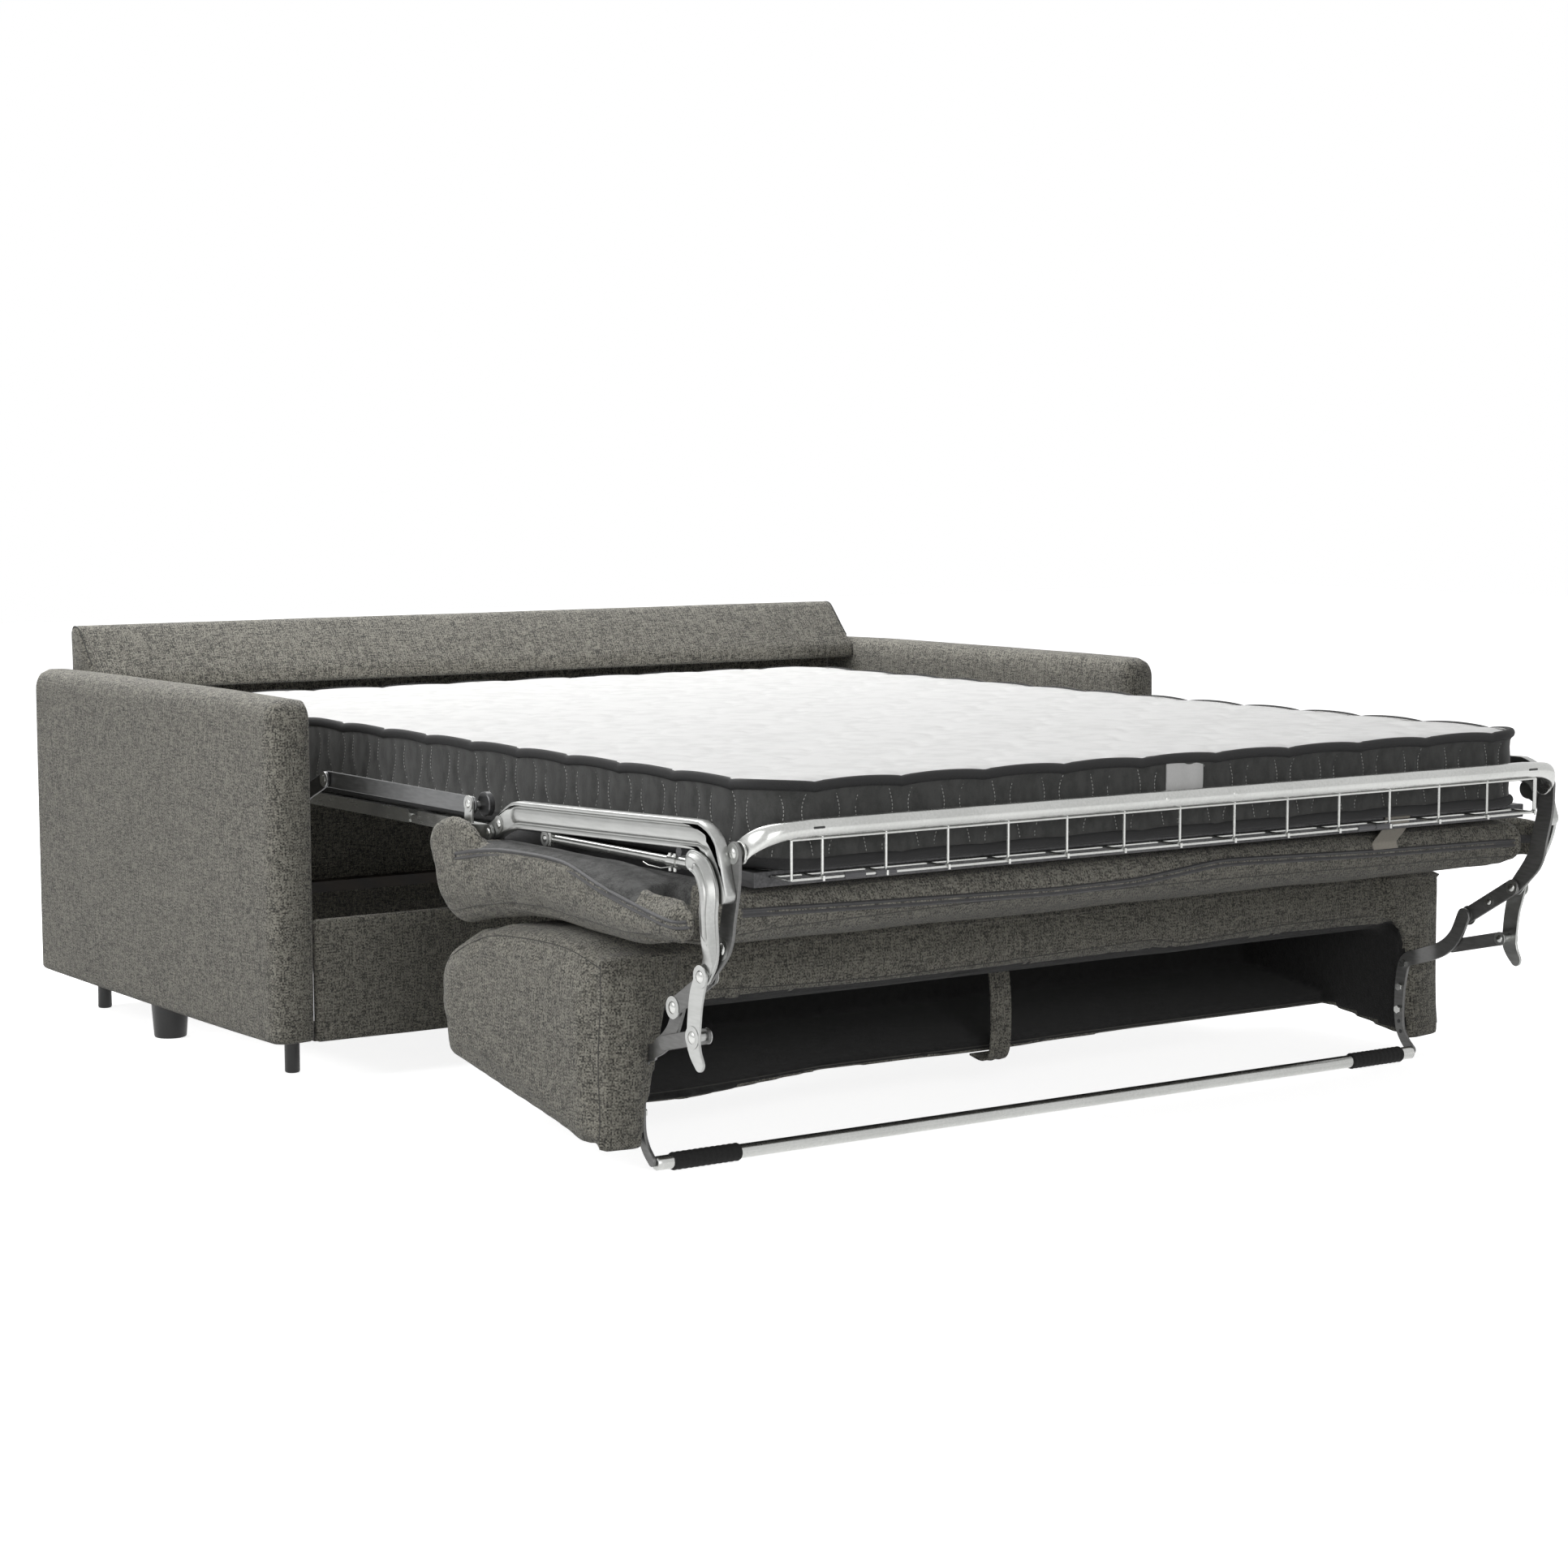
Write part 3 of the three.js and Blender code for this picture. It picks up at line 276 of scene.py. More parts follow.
def melangeFinish():
    cloth = Finish("melangeWeave", roughness=0.92, sheen=0.25)
    cloth.shader.inputs["Sheen Roughness"].default_value = 0.6
    along, across = (tone / weave["pitch"] for tone in cloth.across("UV")[:2])
    warp, weft = along.floor(), across.floor()
    spread = weave["threadSpread"]
    warpPlace = {0: warp * spread, 1: across * weave["slub"]}
    weftPlace = {0: along * weave["slub"], 1: weft * spread, 2: 9.0}
    warpTone, weftTone = (cloth.noise(1.0, 3.0, cloth.node("ShaderNodeCombineXYZ", None, place), 0.65)
                          for place in (warpPlace, weftPlace))
    above = ((warp + weft) * 0.5).part().over(0.25)
    tone = warpTone * above + weftTone * (1.0 - above)
    fleck = cloth.noise(360.0, 1.0)
    cloud = cloth.noise(7.0, 2.0)
    speckle = (tone * 0.78 + fleck * 0.42 + cloud * 0.03 - 0.1).between(0.37, 0.67)
    rounded = (along.part() - 0.5).size() * above + (across.part() - 0.5).size() * (1.0 - above)
    height = (1.0 - rounded * rounded * 4.0) * 0.8 + speckle * 0.2
    cloth.bump(height, weave["relief"], 0.75)
    return cloth.paint(Base_Color=cloth.mix(speckle, weave["dark"], weave["light"]))


felt = {"dark": (0.05, 0.051, 0.05), "light": (0.19, 0.191, 0.186), "relief": 0.0012}


# A share below 1 darkens both tones; the hood's lining uses it as painted shade.
def feltFinish(name="feltLining", share=1.0):
    made = Finish(name, roughness=0.96, sheen=0.15)
    fibres = made.noise(1.0, 4.0, made.stretched((900, 260, 500)), 0.7)
    tufts = made.noise(75.0, 3.0)
    tone = (fibres * 0.6 + tufts * 0.45).between(0.32, 0.72)
    made.bump(tone, felt["relief"], 0.8)
    dark, light = (tuple(value * share for value in felt[key]) for key in ("dark", "light"))
    return made.paint(Base_Color=made.mix(tone, dark, light))


# The mattress: white knit on top, a dark border round it and black tape along the edges.
knit = {"low": (0.86, 0.86, 0.85), "high": (0.95, 0.95, 0.94), "loop": 0.0016, "relief": 0.0002}


def knitFinish():
    made = Finish("whiteKnit", roughness=0.85, sheen=0.1)
    x, y = ((tone * (2 * math.pi / knit["loop"])).sine() for tone in made.across()[:2])
    loops = x * y
    cloud = made.noise(30.0, 3.0)
    made.bump(loops * 0.6 + cloud * 0.4, knit["relief"], 0.4)
    return made.paint(Base_Color=made.mix(cloud.between(0.3, 0.6), knit["low"], knit["high"]))


velvet = {"dark": (0.04, 0.041, 0.039), "light": (0.085, 0.086, 0.083), "relief": 0.0004}


def velvetFinish():
    made = Finish("velvetBorder", roughness=0.88, sheen=0.35)
    streak = made.noise(1.0, 4.0, made.stretched((60, 60, 35)), 0.6)
    grain = made.noise(900.0, 2.0)
    tone = (streak * 0.75 + grain * 0.35).between(0.36, 0.72)
    made.bump(tone, velvet["relief"], 0.5)
    return made.paint(Base_Color=made.mix(tone, velvet["dark"], velvet["light"]))


tape = {"rib": 0.0017, "dark": (0.004, 0.004, 0.004), "light": (0.02, 0.02, 0.021), "relief": 0.0005}


def tapeFinish():
    made = Finish("blackTape", roughness=0.75)
    around, along = made.across("UV")[:2]
    ribs = made.wave(along + around * 0.6, tape["rib"])
    made.bump(ribs, tape["relief"], 0.9)
    return made.paint(Base_Color=made.mix(ribs * 0.7 + made.noise(250.0) * 0.3, tape["dark"], tape["light"]))


zipTones = {"tooth": 0.0016, "relief": 0.0004, "dark": (0.045, 0.045, 0.047), "light": (0.18, 0.18, 0.183)}


def zipFinish():
    made = Finish("zipCoil", roughness=0.55)
    teeth = made.wave(made.across("UV")[1], zipTones["tooth"])
    made.bump(teeth, zipTones["relief"], 0.8)
    tone = teeth * 0.6 + made.noise(90.0) * 0.4
    return made.paint(Base_Color=made.mix(tone, zipTones["dark"], zipTones["light"]))


# Steel finishes, each from a dark to a light tone, with faint drawing lines and small changes of gloss.
metals = {
    "satinSteel": {
        "tones": ((0.35, 0.355, 0.345), (0.41, 0.415, 0.405)),
        "gloss": (0.3, 0.36),
        "metal": 0.95,
    },
    "brightSteel": {
        "tones": ((0.48, 0.485, 0.47), (0.55, 0.555, 0.54)),
        "gloss": (0.22, 0.28),
        "metal": 0.95,
    },
    "barSteel": {"tones": ((0.11, 0.112, 0.113), (0.16, 0.162, 0.163)), "gloss": (0.32, 0.4), "metal": 0.9},
    "darkSteel": {"tones": ((0.05, 0.05, 0.052), (0.1, 0.1, 0.102)), "gloss": (0.36, 0.45), "metal": 0.8},
    "brownedSteel": {
        "tones": ((0.15, 0.15, 0.147), (0.21, 0.21, 0.206)),
        "gloss": (0.4, 0.48),
        "metal": 0.55,
    },
}


def steelFinish(name):
    steel = metals[name]
    made = Finish(name, metallic=steel["metal"])
    lines = made.noise(1.0, 3.0, made.stretched((260, 40, 260)), 0.5)
    cloud = made.noise(9.0, 3.0)
    tone = (lines * 0.5 + cloud * 0.5).between(0.35, 0.65)
    rough = (lines * 0.4 + made.noise(60.0, 4.0) * 0.6).between(0.3, 0.7, *steel["gloss"])
    made.bump(lines, 0.00002, 0.4)
    return made.paint(Base_Color=made.mix(tone, *steel["tones"]), Roughness=rough)


def mouldedFinish(name, colour, roughness, grain, relief):
    made = Finish(name)
    bumps = made.noise(grain, 3.0)
    made.bump(bumps, relief, 0.7)
    light = tuple(value * 2.2 for value in colour)
    gloss = bumps.between(0.3, 0.7, roughness - 0.08, roughness + 0.08)
    return made.paint(Base_Color=made.mix(made.noise(30.0, 3.0), colour, light), Roughness=gloss)


# Wood grain on tones painted near black: painted shade for the dark inside of the sofa's frame.
woodShadeTones = {"dark": (0.012, 0.01, 0.008), "light": (0.045, 0.037, 0.03), "relief": 0.0003}


def woodFinish():
    made = Finish("woodPaintedShade", roughness=0.65)
    x, y, z = made.across()
    wander = made.noise(1.0, 3.0, made.stretched((3, 0.8, 3)))
    rings = ((x * 60.0 + z * 75.0 + wander * 9.0).sine() * 0.5 + 0.5) ** 1.5
    made.bump(rings, woodShadeTones["relief"], 0.5)
    return made.paint(Base_Color=made.mix(rings, woodShadeTones["light"], woodShadeTones["dark"]))


webbing = {
    "rib": 0.0012,
    "thread": 0.0021,
    "relief": 0.0004,
    "dark": (0.42, 0.39, 0.33),
    "light": (0.78, 0.74, 0.66),
}


def webbingFinish():
    made = Finish("paleWebbing", roughness=0.85)
    across, along = made.across("UV")[:2]
    ribs, threads = made.wave(along, webbing["rib"]), made.wave(across, webbing["thread"])
    made.bump(ribs * 0.6 + threads * 0.4, webbing["relief"], 0.8)
    tone = ribs * 0.3 + threads * 0.3 + made.noise(300.0) * 0.4
    return made.paint(Base_Color=made.mix(tone, webbing["dark"], webbing["light"]))


def labelFinish():
    made = Finish("bareLabel", roughness=0.6)
    threads = made.noise(1.0, 2.0, made.stretched((900, 900, 250)))
    made.bump(threads, 0.0002, 0.5)
    return made.paint(Base_Color=made.mix(threads, (0.8, 0.8, 0.79), (0.95, 0.95, 0.94)))


def threadFinish(name, colour):
    made = Finish(name, roughness=0.7)
    twist = made.noise(900.0, 2.0)
    made.bump(twist, 0.0002, 0.6)
    return made.paint(Base_Color=made.mix(twist, tuple(value * 0.7 for value in colour), colour))


finishes = {
    "melange": melangeFinish(),
    "felt": feltFinish(),
    # The hood's lining: felt with both tones cut to a tenth, painted shade for the dark hollow of the hood.
    "paintedShadeFelt": feltFinish("feltLiningPaintedShade", 0.1),
    "knit": knitFinish(),
    "velvet": velvetFinish(),
    "tape": tapeFinish(),
    "zip": zipFinish(),
    **{name: steelFinish(name) for name in metals},
    "plastic": mouldedFinish("blackPlastic", (0.007, 0.007, 0.007), 0.42, 500.0, 0.0002),
    "foam": mouldedFinish("blackFoam", (0.005, 0.005, 0.005), 0.88, 900.0, 0.0006),
    "clipPlastic": mouldedFinish("greyPlastic", (0.09, 0.09, 0.095), 0.5, 400.0, 0.0002),
    "wood": woodFinish(),
    "webbing": webbingFinish(),
    "label": labelFinish(),
    "whiteThread": threadFinish("whiteThread", (0.72, 0.72, 0.7)),
    "greyThread": threadFinish("greyThread", (0.1, 0.098, 0.09)),
}
print("finishes ready")


# Mesh tools. A Shape gathers rings, tubes and plates, with a flat map in metres on every face.
class Shape:
    def __init__(self):
        self.points = []
        self.faces = []
        self.maps = []

    def add(self, points, faces, maps):
        start = len(self.points)
        self.points += [tuple(point) for point in points]
        self.faces += [tuple(start + corner for corner in face) for face in faces]
        self.maps += maps

    # Closed rings joined one to the next, with a fan over each end.
    def loft(self, rings, caps=True):
        rings = np.asarray(rings, float)
        count = len(rings[0])
        turned = np.concatenate([rings, rings[:, :1]], axis=1)
        around = np.zeros((len(rings), count + 1))
        around[:, 1:] = np.cumsum(np.linalg.norm(np.diff(turned, axis=1), axis=2), axis=1)
        centres = rings.mean(axis=1)
        steps = np.linalg.norm(np.diff(rings, axis=0), axis=2).mean(axis=1)
        along = np.concatenate([[0], np.cumsum(steps)])
        faces, maps = [], []
        for ring in range(len(rings) - 1):
            for corner in range(count):
                after = (corner + 1) % count
                near, far = ring * count, (ring + 1) * count
                faces.append((near + corner, near + after, far + after, far + corner))
                maps.append([(around[ring, corner], along[ring]), (around[ring, corner + 1], along[ring]),
                             (around[ring + 1, corner + 1], along[ring + 1]),
                             (around[ring + 1, corner], along[ring + 1])])
        points = rings.reshape(-1, 3).tolist()
        if caps:
            for ring in (0, len(rings) - 1):
                points.append(centres[ring].tolist())
                hub = len(points) - 1
                for corner in range(count):
                    after = (corner + 1) % count
                    faces.append((hub, ring * count + corner, ring * count + after))
                    maps.append([(0, 0), (around[ring, corner], 0.01), (around[ring, corner + 1], 0.01)])
        self.add(points, faces, maps)
        return self

    # A round or oval tube along a path, by turning one frame along it.
    def tube(self, path, radius, sides=16, flat=1.0):
        path = np.asarray([tuple(point) for point in path], float)
        radii = np.broadcast_to(np.asarray(radius, float), (len(path),))
        return self.loft(sweepRings(path, sides, radii, flat))

    # A turned part with its axis along X, as [radius, depth] points from its inner face outward.
    def disc(self, x, place, height, profile, sign=1, sides=28):
        return self.loft([[(sign * (x + depth), row(place) + radius * math.cos(turn),
                            height + radius * math.sin(turn)) for turn in turnsRound(sides)]
                          for radius, depth in profile])

    def join(self, other):
        self.add(other.points, other.faces, other.maps)
        return self

    def build(self, name, finish, smooth=38):
        return makeMesh(name, self.points, self.faces, finishes[finish], self.maps, smooth)

    # Builds the shape and has it ride on a body, in place of the solids that are named.
    def fit(self, name, finish, body, slot, *replaced, smooth=38):
        return follow(self.build(name, finish, smooth), body, slot, *replaced)


def turnsRound(count):
    return np.arange(count) * 2 * math.pi / count


def unitRows(rows):
    return rows / np.linalg.norm(rows, axis=1)[:, None]


# The way that a path goes at each of its points.
def headings(path):
    return unitRows(np.gradient(path, axis=0))


def sweepRings(path, sides, radii, flat=1.0):
    section = np.stack([np.cos(turnsRound(sides)), np.sin(turnsRound(sides)) * flat], axis=1)
    ahead = headings(path)
    side = np.cross(ahead[0], (0, 0, 1))
    if np.linalg.norm(side) < 0.1:
        side = np.cross(ahead[0], (0, 1, 0))
    rings = []
    for point, way, radius in zip(path, ahead, radii):
        side = side - way * (side @ way)
        side /= np.linalg.norm(side)
        rings.append(point + radius * (section[:, :1] * side + section[:, 1:] * np.cross(side, way)))
    return rings


# The arc that rounds off one corner between its neighbours.
def cornerArc(before, corner, after, radius, steps):
    start, end = (corner + way / np.linalg.norm(way) * min(radius, np.linalg.norm(way) * 0.45)
                  for way in (before - corner, after - corner))
    return [(1 - share) ** 2 * start + 2 * share * (1 - share) * corner + share ** 2 * end
            for share in np.linspace(0, 1, steps)]


# A path with its corners rounded off, as [place, height] points.
def roundPath(corners, radius, steps=8):
    corners = [np.array(corner, float) for corner in corners]
    made = [corners[0]]
    for near in zip(corners, corners[1:], corners[2:]):
        made += cornerArc(*near, radius, steps)
    return made + [corners[-1]]


def plateProfile(half, inner, thickness, edge=0.0008):
    outer = inner + thickness
    return [(0, inner), (half - edge, inner), (half, inner + edge), (half, outer - edge),
            (half - edge, outer), (0, outer)]


# A smooth path through a few points.
def smoothPath(points, steps=10):
    points = [np.array(point, float) for point in points]
    ends = [2 * points[0] - points[1], *points, 2 * points[-1] - points[-2]]
    made = []
    for index in range(1, len(ends) - 2):
        before, start, end, after = ends[index - 1:index + 3]
        for share in np.arange(steps) / steps:
            made.append(0.5 * (2 * start + (end - before) * share
                               + (2 * before - 5 * start + 4 * end - after) * share ** 2
                               + (3 * start - before - 3 * end + after) * share ** 3))
    return made + [points[-1]]


def makeMesh(name, points, faces, material, maps=None, smooth=38):
    mesh = bpy.data.meshes.new(name)
    mesh.from_pydata([tuple(point) for point in points], [], faces)
    if maps:
        layer = mesh.uv_layers.new(name="UVMap")
        layer.data.foreach_set("uv", [value for face in maps for pair in face for value in pair])
    mesh.materials.append(material)
    tidyShell(mesh, smooth, weld=True)
    return addObject(name, mesh)


# Welds what lies together and turns the faces outward.
def tidyShell(mesh, smooth, weld=False):
    shell = bmesh.new()
    shell.from_mesh(mesh)
    if weld:
        bmesh.ops.remove_doubles(shell, verts=shell.verts, dist=2e-5)
        bmesh.ops.dissolve_degenerate(shell, edges=shell.edges, dist=1e-6)
    bmesh.ops.recalc_face_normals(shell, faces=shell.faces)
    shell.to_mesh(mesh)
    shell.free()
    shade(mesh, smooth)


def addObject(name, data):
    made = bpy.data.objects.new(name, data)
    bpy.context.scene.collection.objects.link(made)
    return made


def shade(mesh, smooth):
    mesh.shade_smooth()
    mesh.set_sharp_from_angle(angle=math.radians(smooth))


def pull(rows, key, width, kind=float):
    values = np.zeros(len(rows) * width, kind)
    rows.foreach_get(key, values)
    return values.reshape(-1, width)


# A map in metres, from the side that each face looks to. The weave is drawn on it.
def mapByFacing(made):
    mesh = made.data
    layer = mesh.uv_layers.get("UVMap") or mesh.uv_layers.new(name="UVMap")
    points, normals = (pull(rows, key, 3) for rows, key in ((mesh.vertices, "co"), (mesh.polygons, "normal")))
    corners = pull(mesh.loops, "vertex_index", 1, int).ravel()
    totals = pull(mesh.polygons, "loop_total", 1, int).ravel()
    facing = np.repeat(np.abs(normals).argmax(axis=1), totals)
    spots = points[corners]
    first = np.where(facing == 0, spots[:, 1], spots[:, 0])
    second = np.where(facing == 2, spots[:, 1], spots[:, 2])
    layer.data.foreach_set("uv", np.stack([first, second], axis=1).ravel())


# Replaces an object's mesh by what its modifiers make of it.
def settle(made, smooth=None):
    result = bpy.data.meshes.new_from_object(made.evaluated_get(bpy.context.evaluated_depsgraph_get()))
    made.modifiers.clear()
    made.data = result
    if smooth:
        shade(result, smooth)
    return made


# Small wavering, from a few waves of unlike lengths. It is the same on every run.
def waver(x, y, scale, seed=0.0):
    return (np.sin(x / scale + seed) * np.cos(y / scale * 0.83 + seed * 1.7)
            + 0.5 * np.sin(x / scale * 2.3 + y / scale * 1.9 + seed * 2.3)
            + 0.25 * np.cos(x / scale * 4.1 - y / scale * 3.7 + seed * 0.7)) / 1.75


# An upholstered board or arm in place of a solid: its box with soft edges and slightly full faces.
def paddedBox(name, node, softLow, softHigh, full, step, ripple=0.0006):
    low, high = (np.array(corner, float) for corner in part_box(node))
    points, faces = boxGrid(low, high, step)
    points = np.array(points)
    softLow, softHigh = np.array(softLow, float), np.array(softHigh, float)
    inner = np.clip(points, low + softLow, high - softHigh)
    away = points - inner
    soft = np.where(away < 0, softLow, softHigh)
    lean = away / soft
    length = np.linalg.norm(lean, axis=1)[:, None]
    points = inner + lean / np.maximum(length, 1e-9) * soft
    shares = (points - (low + high) / 2) / ((high - low) / 2)
    hump = 1 - np.clip(np.abs(shares), 0, 1) ** 4
    wave = waver(points[:, 0] + points[:, 2], points[:, 1], 0.11) * ripple
    for axis, swell in enumerate(full):
        others = [other for other in range(3) if other != axis]
        weight = hump[:, others[0]] * hump[:, others[1]] * np.clip(np.abs(shares[:, axis]), 0, 1) ** 6
        points[:, axis] += np.sign(shares[:, axis]) * weight * (swell + wave)
    made = makeMesh(name, points, faces, finishes["melange"], None, 60)
    mapByFacing(made)
    return follow(made, "base", "melange_fabric", node)


def boxGrid(low, high, step):
    points, faces = [], []
    for axis in range(3):
        first, second = (axis + 1) % 3, (axis + 2) % 3
        counts = [max(3, int(round((high[other] - low[other]) / step))) for other in (first, second)]
        for level in (low[axis], high[axis]):
            start = len(points)
            for row1 in range(counts[0] + 1):
                for row2 in range(counts[1] + 1):
                    point = [0.0, 0.0, 0.0]
                    point[axis] = level
                    point[first] = low[first] + (high[first] - low[first]) * easeEnds(row1 / counts[0])
                    point[second] = low[second] + (high[second] - low[second]) * easeEnds(row2 / counts[1])
                    points.append(point)
            width = counts[1] + 1
            for row1 in range(counts[0]):
                for row2 in range(counts[1]):
                    corner = start + row1 * width + row2
                    faces.append((corner, corner + 1, corner + width + 1, corner + width))
    return points, faces


# Draws grid lines together near both ends, where an edge is rounded.
def easeEnds(share):
    return share - 0.11 * math.sin(2 * math.pi * share)


def follow(made, body, slot, *replaced):
    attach(made, body)
    if replaced:
        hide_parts(*replaced)
    return made


# The sofa's fixed body.
body = {
    "armEdge": 0.024,
    "armInner": 0.012,
    "armFront": 0.028,
    "armRear": 0.018,
    "armTop": 0.034,
    "armFoot": 0.010,
    "armStep": 0.014,
    "armFull": (0.004, 0.002, 0.003),
    "panelEdge": 0.006,
    "panelFull": (0, 0.002, 0.001),
    "panelStep": 0.02,
    "boardEdge": 0.004,
    "boardFull": (0, 0.001, 0),
    "boardStep": 0.03,
}


def makeSofaBody():
    for side, sign in bothSides:
        outer, inner = body["armEdge"], body["armInner"]
        softLow = (outer if sign < 0 else inner, body["armFront"], body["armFoot"])
        softHigh = (outer if sign > 0 else inner, body["armRear"], body["armTop"])
        arm = paddedBox(f"armCover_{side}", f"arm_{side}", softLow, softHigh, body["armFull"],
                        body["armStep"])
    edge = (body["panelEdge"],) * 3
    panel = paddedBox("frontPanelCover", "front_panel", edge, edge, body["panelFull"], body["panelStep"])
    edge = (body["boardEdge"],) * 3
    paddedBox("rearCover", "rear_board", edge, edge, body["boardFull"], body["boardStep"])
    makeBackPad()


backPad = {
    "section": [(0, 0.572), (0, 0.672), (0.026, 0.672), (0.106, 0.585), (0.106, 0.562), (0.08, 0.562)],
    "rounding": 0.011,
    "full": 0.003,
    "endSoft": 0.012,
    "stations": 90,
    "slopePlace": 0.062,
    "slopeReach": 0.03,
    "slopeLow": 0.59,
    "slopeOut": (0.74, 0.67),
    "seamInset": 0.004,
    "seamSink": 0.0012,
    "seamRadius": 0.0012,
}


def makeBackPad():
    form = backPad
    low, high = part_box("back_pad")
    loop = closedRound(form["section"], form["rounding"], 6, 10)
    inward = unitRows(loop.mean(axis=0) - loop)
    rings = []
    for x in easedStations(low.x, high.x, form["stations"]):
        near = min(x - low.x, high.x - x)
        ring = loop + inward * softEnd(near, form["endSoft"]) * form["endSoft"] * 0.6
        slope = np.exp(-((ring[:, 0] - form["slopePlace"]) / form["slopeReach"]) ** 2)
        slope *= ring[:, 1] > form["slopeLow"]
        push = slope * form["full"] * min(1, near / 0.2) + waver(ring[:, 1], x, 0.13) * 0.0005
        ring = ring + push[:, None] * form["slopeOut"]
        rings.append([(x, row(place), height) for place, height in ring])
    pad = Shape().loft(rings).fit("backCover", "melange", "base", "melange_fabric", "back_pad", smooth=50)
    mapByFacing(pad)
    seams = Shape()
    line = (loop + inward * form["seamSink"])[4:44]
    for x in (low.x + form["seamInset"], high.x - form["seamInset"]):
        seams.tube([(x, row(place), height) for place, height in line], form["seamRadius"], 6)
    seams.fit("backSeams", "greyThread", "base", "melange_fabric")


# A closed outline with its corners rounded and its straights cut into short steps.
def closedRound(corners, radius, steps, cuts):
    corners = [np.array(corner, float) for corner in corners]
    made = []
    for index, corner in enumerate(corners):
        arc = cornerArc(corners[index - 1], corner, corners[(index + 1) % len(corners)], radius, steps)
        if made:
            made += list(np.linspace(made[-1], arc[0], cuts + 1)[1:-1])
        made += arc
    made += list(np.linspace(made[-1], made[0], cuts + 1)[1:-1])
    return np.array(made)


def easedStations(low, high, count):
    return [low + (high - low) * easeEnds(share) for share in np.linspace(0, 1, count)]


# How far a rounded end has closed in, from 0 inside to 1 at the very end.
def softEnd(near, rounding):
    share = max(0.0, 1 - near / rounding)
    return 1 - math.sqrt(max(0.0, 1 - share * share))


legForm = {"post": 0.012, "footTop": 0.0315, "footLow": 0.027, "edge": 0.003, "sides": 48}


def makeLegs():
    post, edge = legForm["post"], legForm["edge"]
    thick = (legForm["footTop"], legForm["footLow"])
    forms = {"front_leg": (post, post), "rear_leg": (post, post), "middle_leg": thick}
    for side, sign in bothSides:
        for node, (top, low) in forms.items():
            corner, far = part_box(f"{node}_{side}")
            middle = (corner + far) / 2
            profile = [(low * 0.5, 0), (low - edge, 0), (low - edge * 0.3, edge * 0.3), (low, edge),
                       ((low + top) * 0.5, far.z * 0.5), (top, far.z - 0.001), (top * 0.5, far.z)]
            rings = [[(middle.x + radius * math.cos(turn), middle.y + radius * math.sin(turn), height)
                      for turn in turnsRound(legForm["sides"])] for radius, height in profile]
            leg = Shape().loft(rings)
            leg.fit(f"{node}Moulding_{side}", "plastic", "base", "black_plastic", f"{node}_{side}", smooth=30)


makeCamera()
makeStudio()
makeSofaBody()
makeLegs()
print("sofa body ready")


# A pad drawn in plan as a grid of x and place lines, with rounded corners and a wall round it.
class PadGrid:
    def __init__(self, xs, places, corner, split=()):
        self.xs = np.array(xs)
        self.places = np.array(places)
        self.corner = corner
        self.cuts = [int(np.abs(self.places - cut).argmin()) for cut in split]
        self.plan = np.stack(np.meshgrid(self.xs, self.places, indexing="ij"), axis=2)
        self.roundCorners()
        last, end = len(self.xs) - 1, len(self.places) - 1
        self.rim = [(column, 0) for column in range(last)] + [(last, line) for line in range(end)]
        self.rim += [(column, end) for column in range(last, 0, -1)]
        self.rim += [(0, line) for line in range(end, 0, -1)]
        self.edge = np.array([self.plan[corner] for corner in self.rim])
        self.ahead = unitRows(np.roll(self.edge, -1, axis=0) - np.roll(self.edge, 1, axis=0))
        self.out = np.stack([self.ahead[:, 1], -self.ahead[:, 0]], axis=1)
        if (self.out[0] @ (self.edge[0] - self.plan.mean(axis=(0, 1)))) < 0:
            self.out = -self.out
        steps = np.linalg.norm(self.edge - np.roll(self.edge, 1, axis=0), axis=1)
        self.along = np.cumsum(steps) - steps[0]
        self.girth = steps.sum()

    # The nearest pitch that goes a whole number of times round the rim, in groups of so many.
    def evenPitch(self, pitch, group=1):
        return self.girth / (group * round(self.girth / (group * pitch)))

    def roundCorners(self):
        radius = self.corner
        halfX = self.xs[-1]
        for near, sign in ((self.places[0], 1), (self.places[-1], -1)):
            u = (np.abs(self.plan[..., 0]) - (halfX - radius)) / radius
            v = (near + sign * radius - self.plan[..., 1]) * sign / radius
            inside = (u > 0) & (v > 0)
            roundU = u * np.sqrt(np.maximum(0, 1 - v * v / 2))
            roundV = v * np.sqrt(np.maximum(0, 1 - u * u / 2))
            side = np.sign(self.plan[..., 0])
            self.plan[..., 0] = np.where(inside, side * (halfX - radius + roundU * radius), self.plan[..., 0])
            self.plan[..., 1] = np.where(inside, near + sign * radius * (1 - roundV), self.plan[..., 1])

    def edgeDistance(self):
        fromSide = self.xs[-1] - np.abs(self.plan[..., 0])
        fromEnd = np.minimum(self.plan[..., 1] - self.places[0], self.places[-1] - self.plan[..., 1])
        u, v = self.corner - fromSide, self.corner - fromEnd
        inCorner = (u > 0) & (v > 0)
        return np.maximum(0, np.where(inCorner, self.corner - np.hypot(u, v), np.minimum(fromSide, fromEnd)))


def spaced(low, high, step):
    return np.linspace(low, high, max(2, int(round((high - low) / step)) + 1))


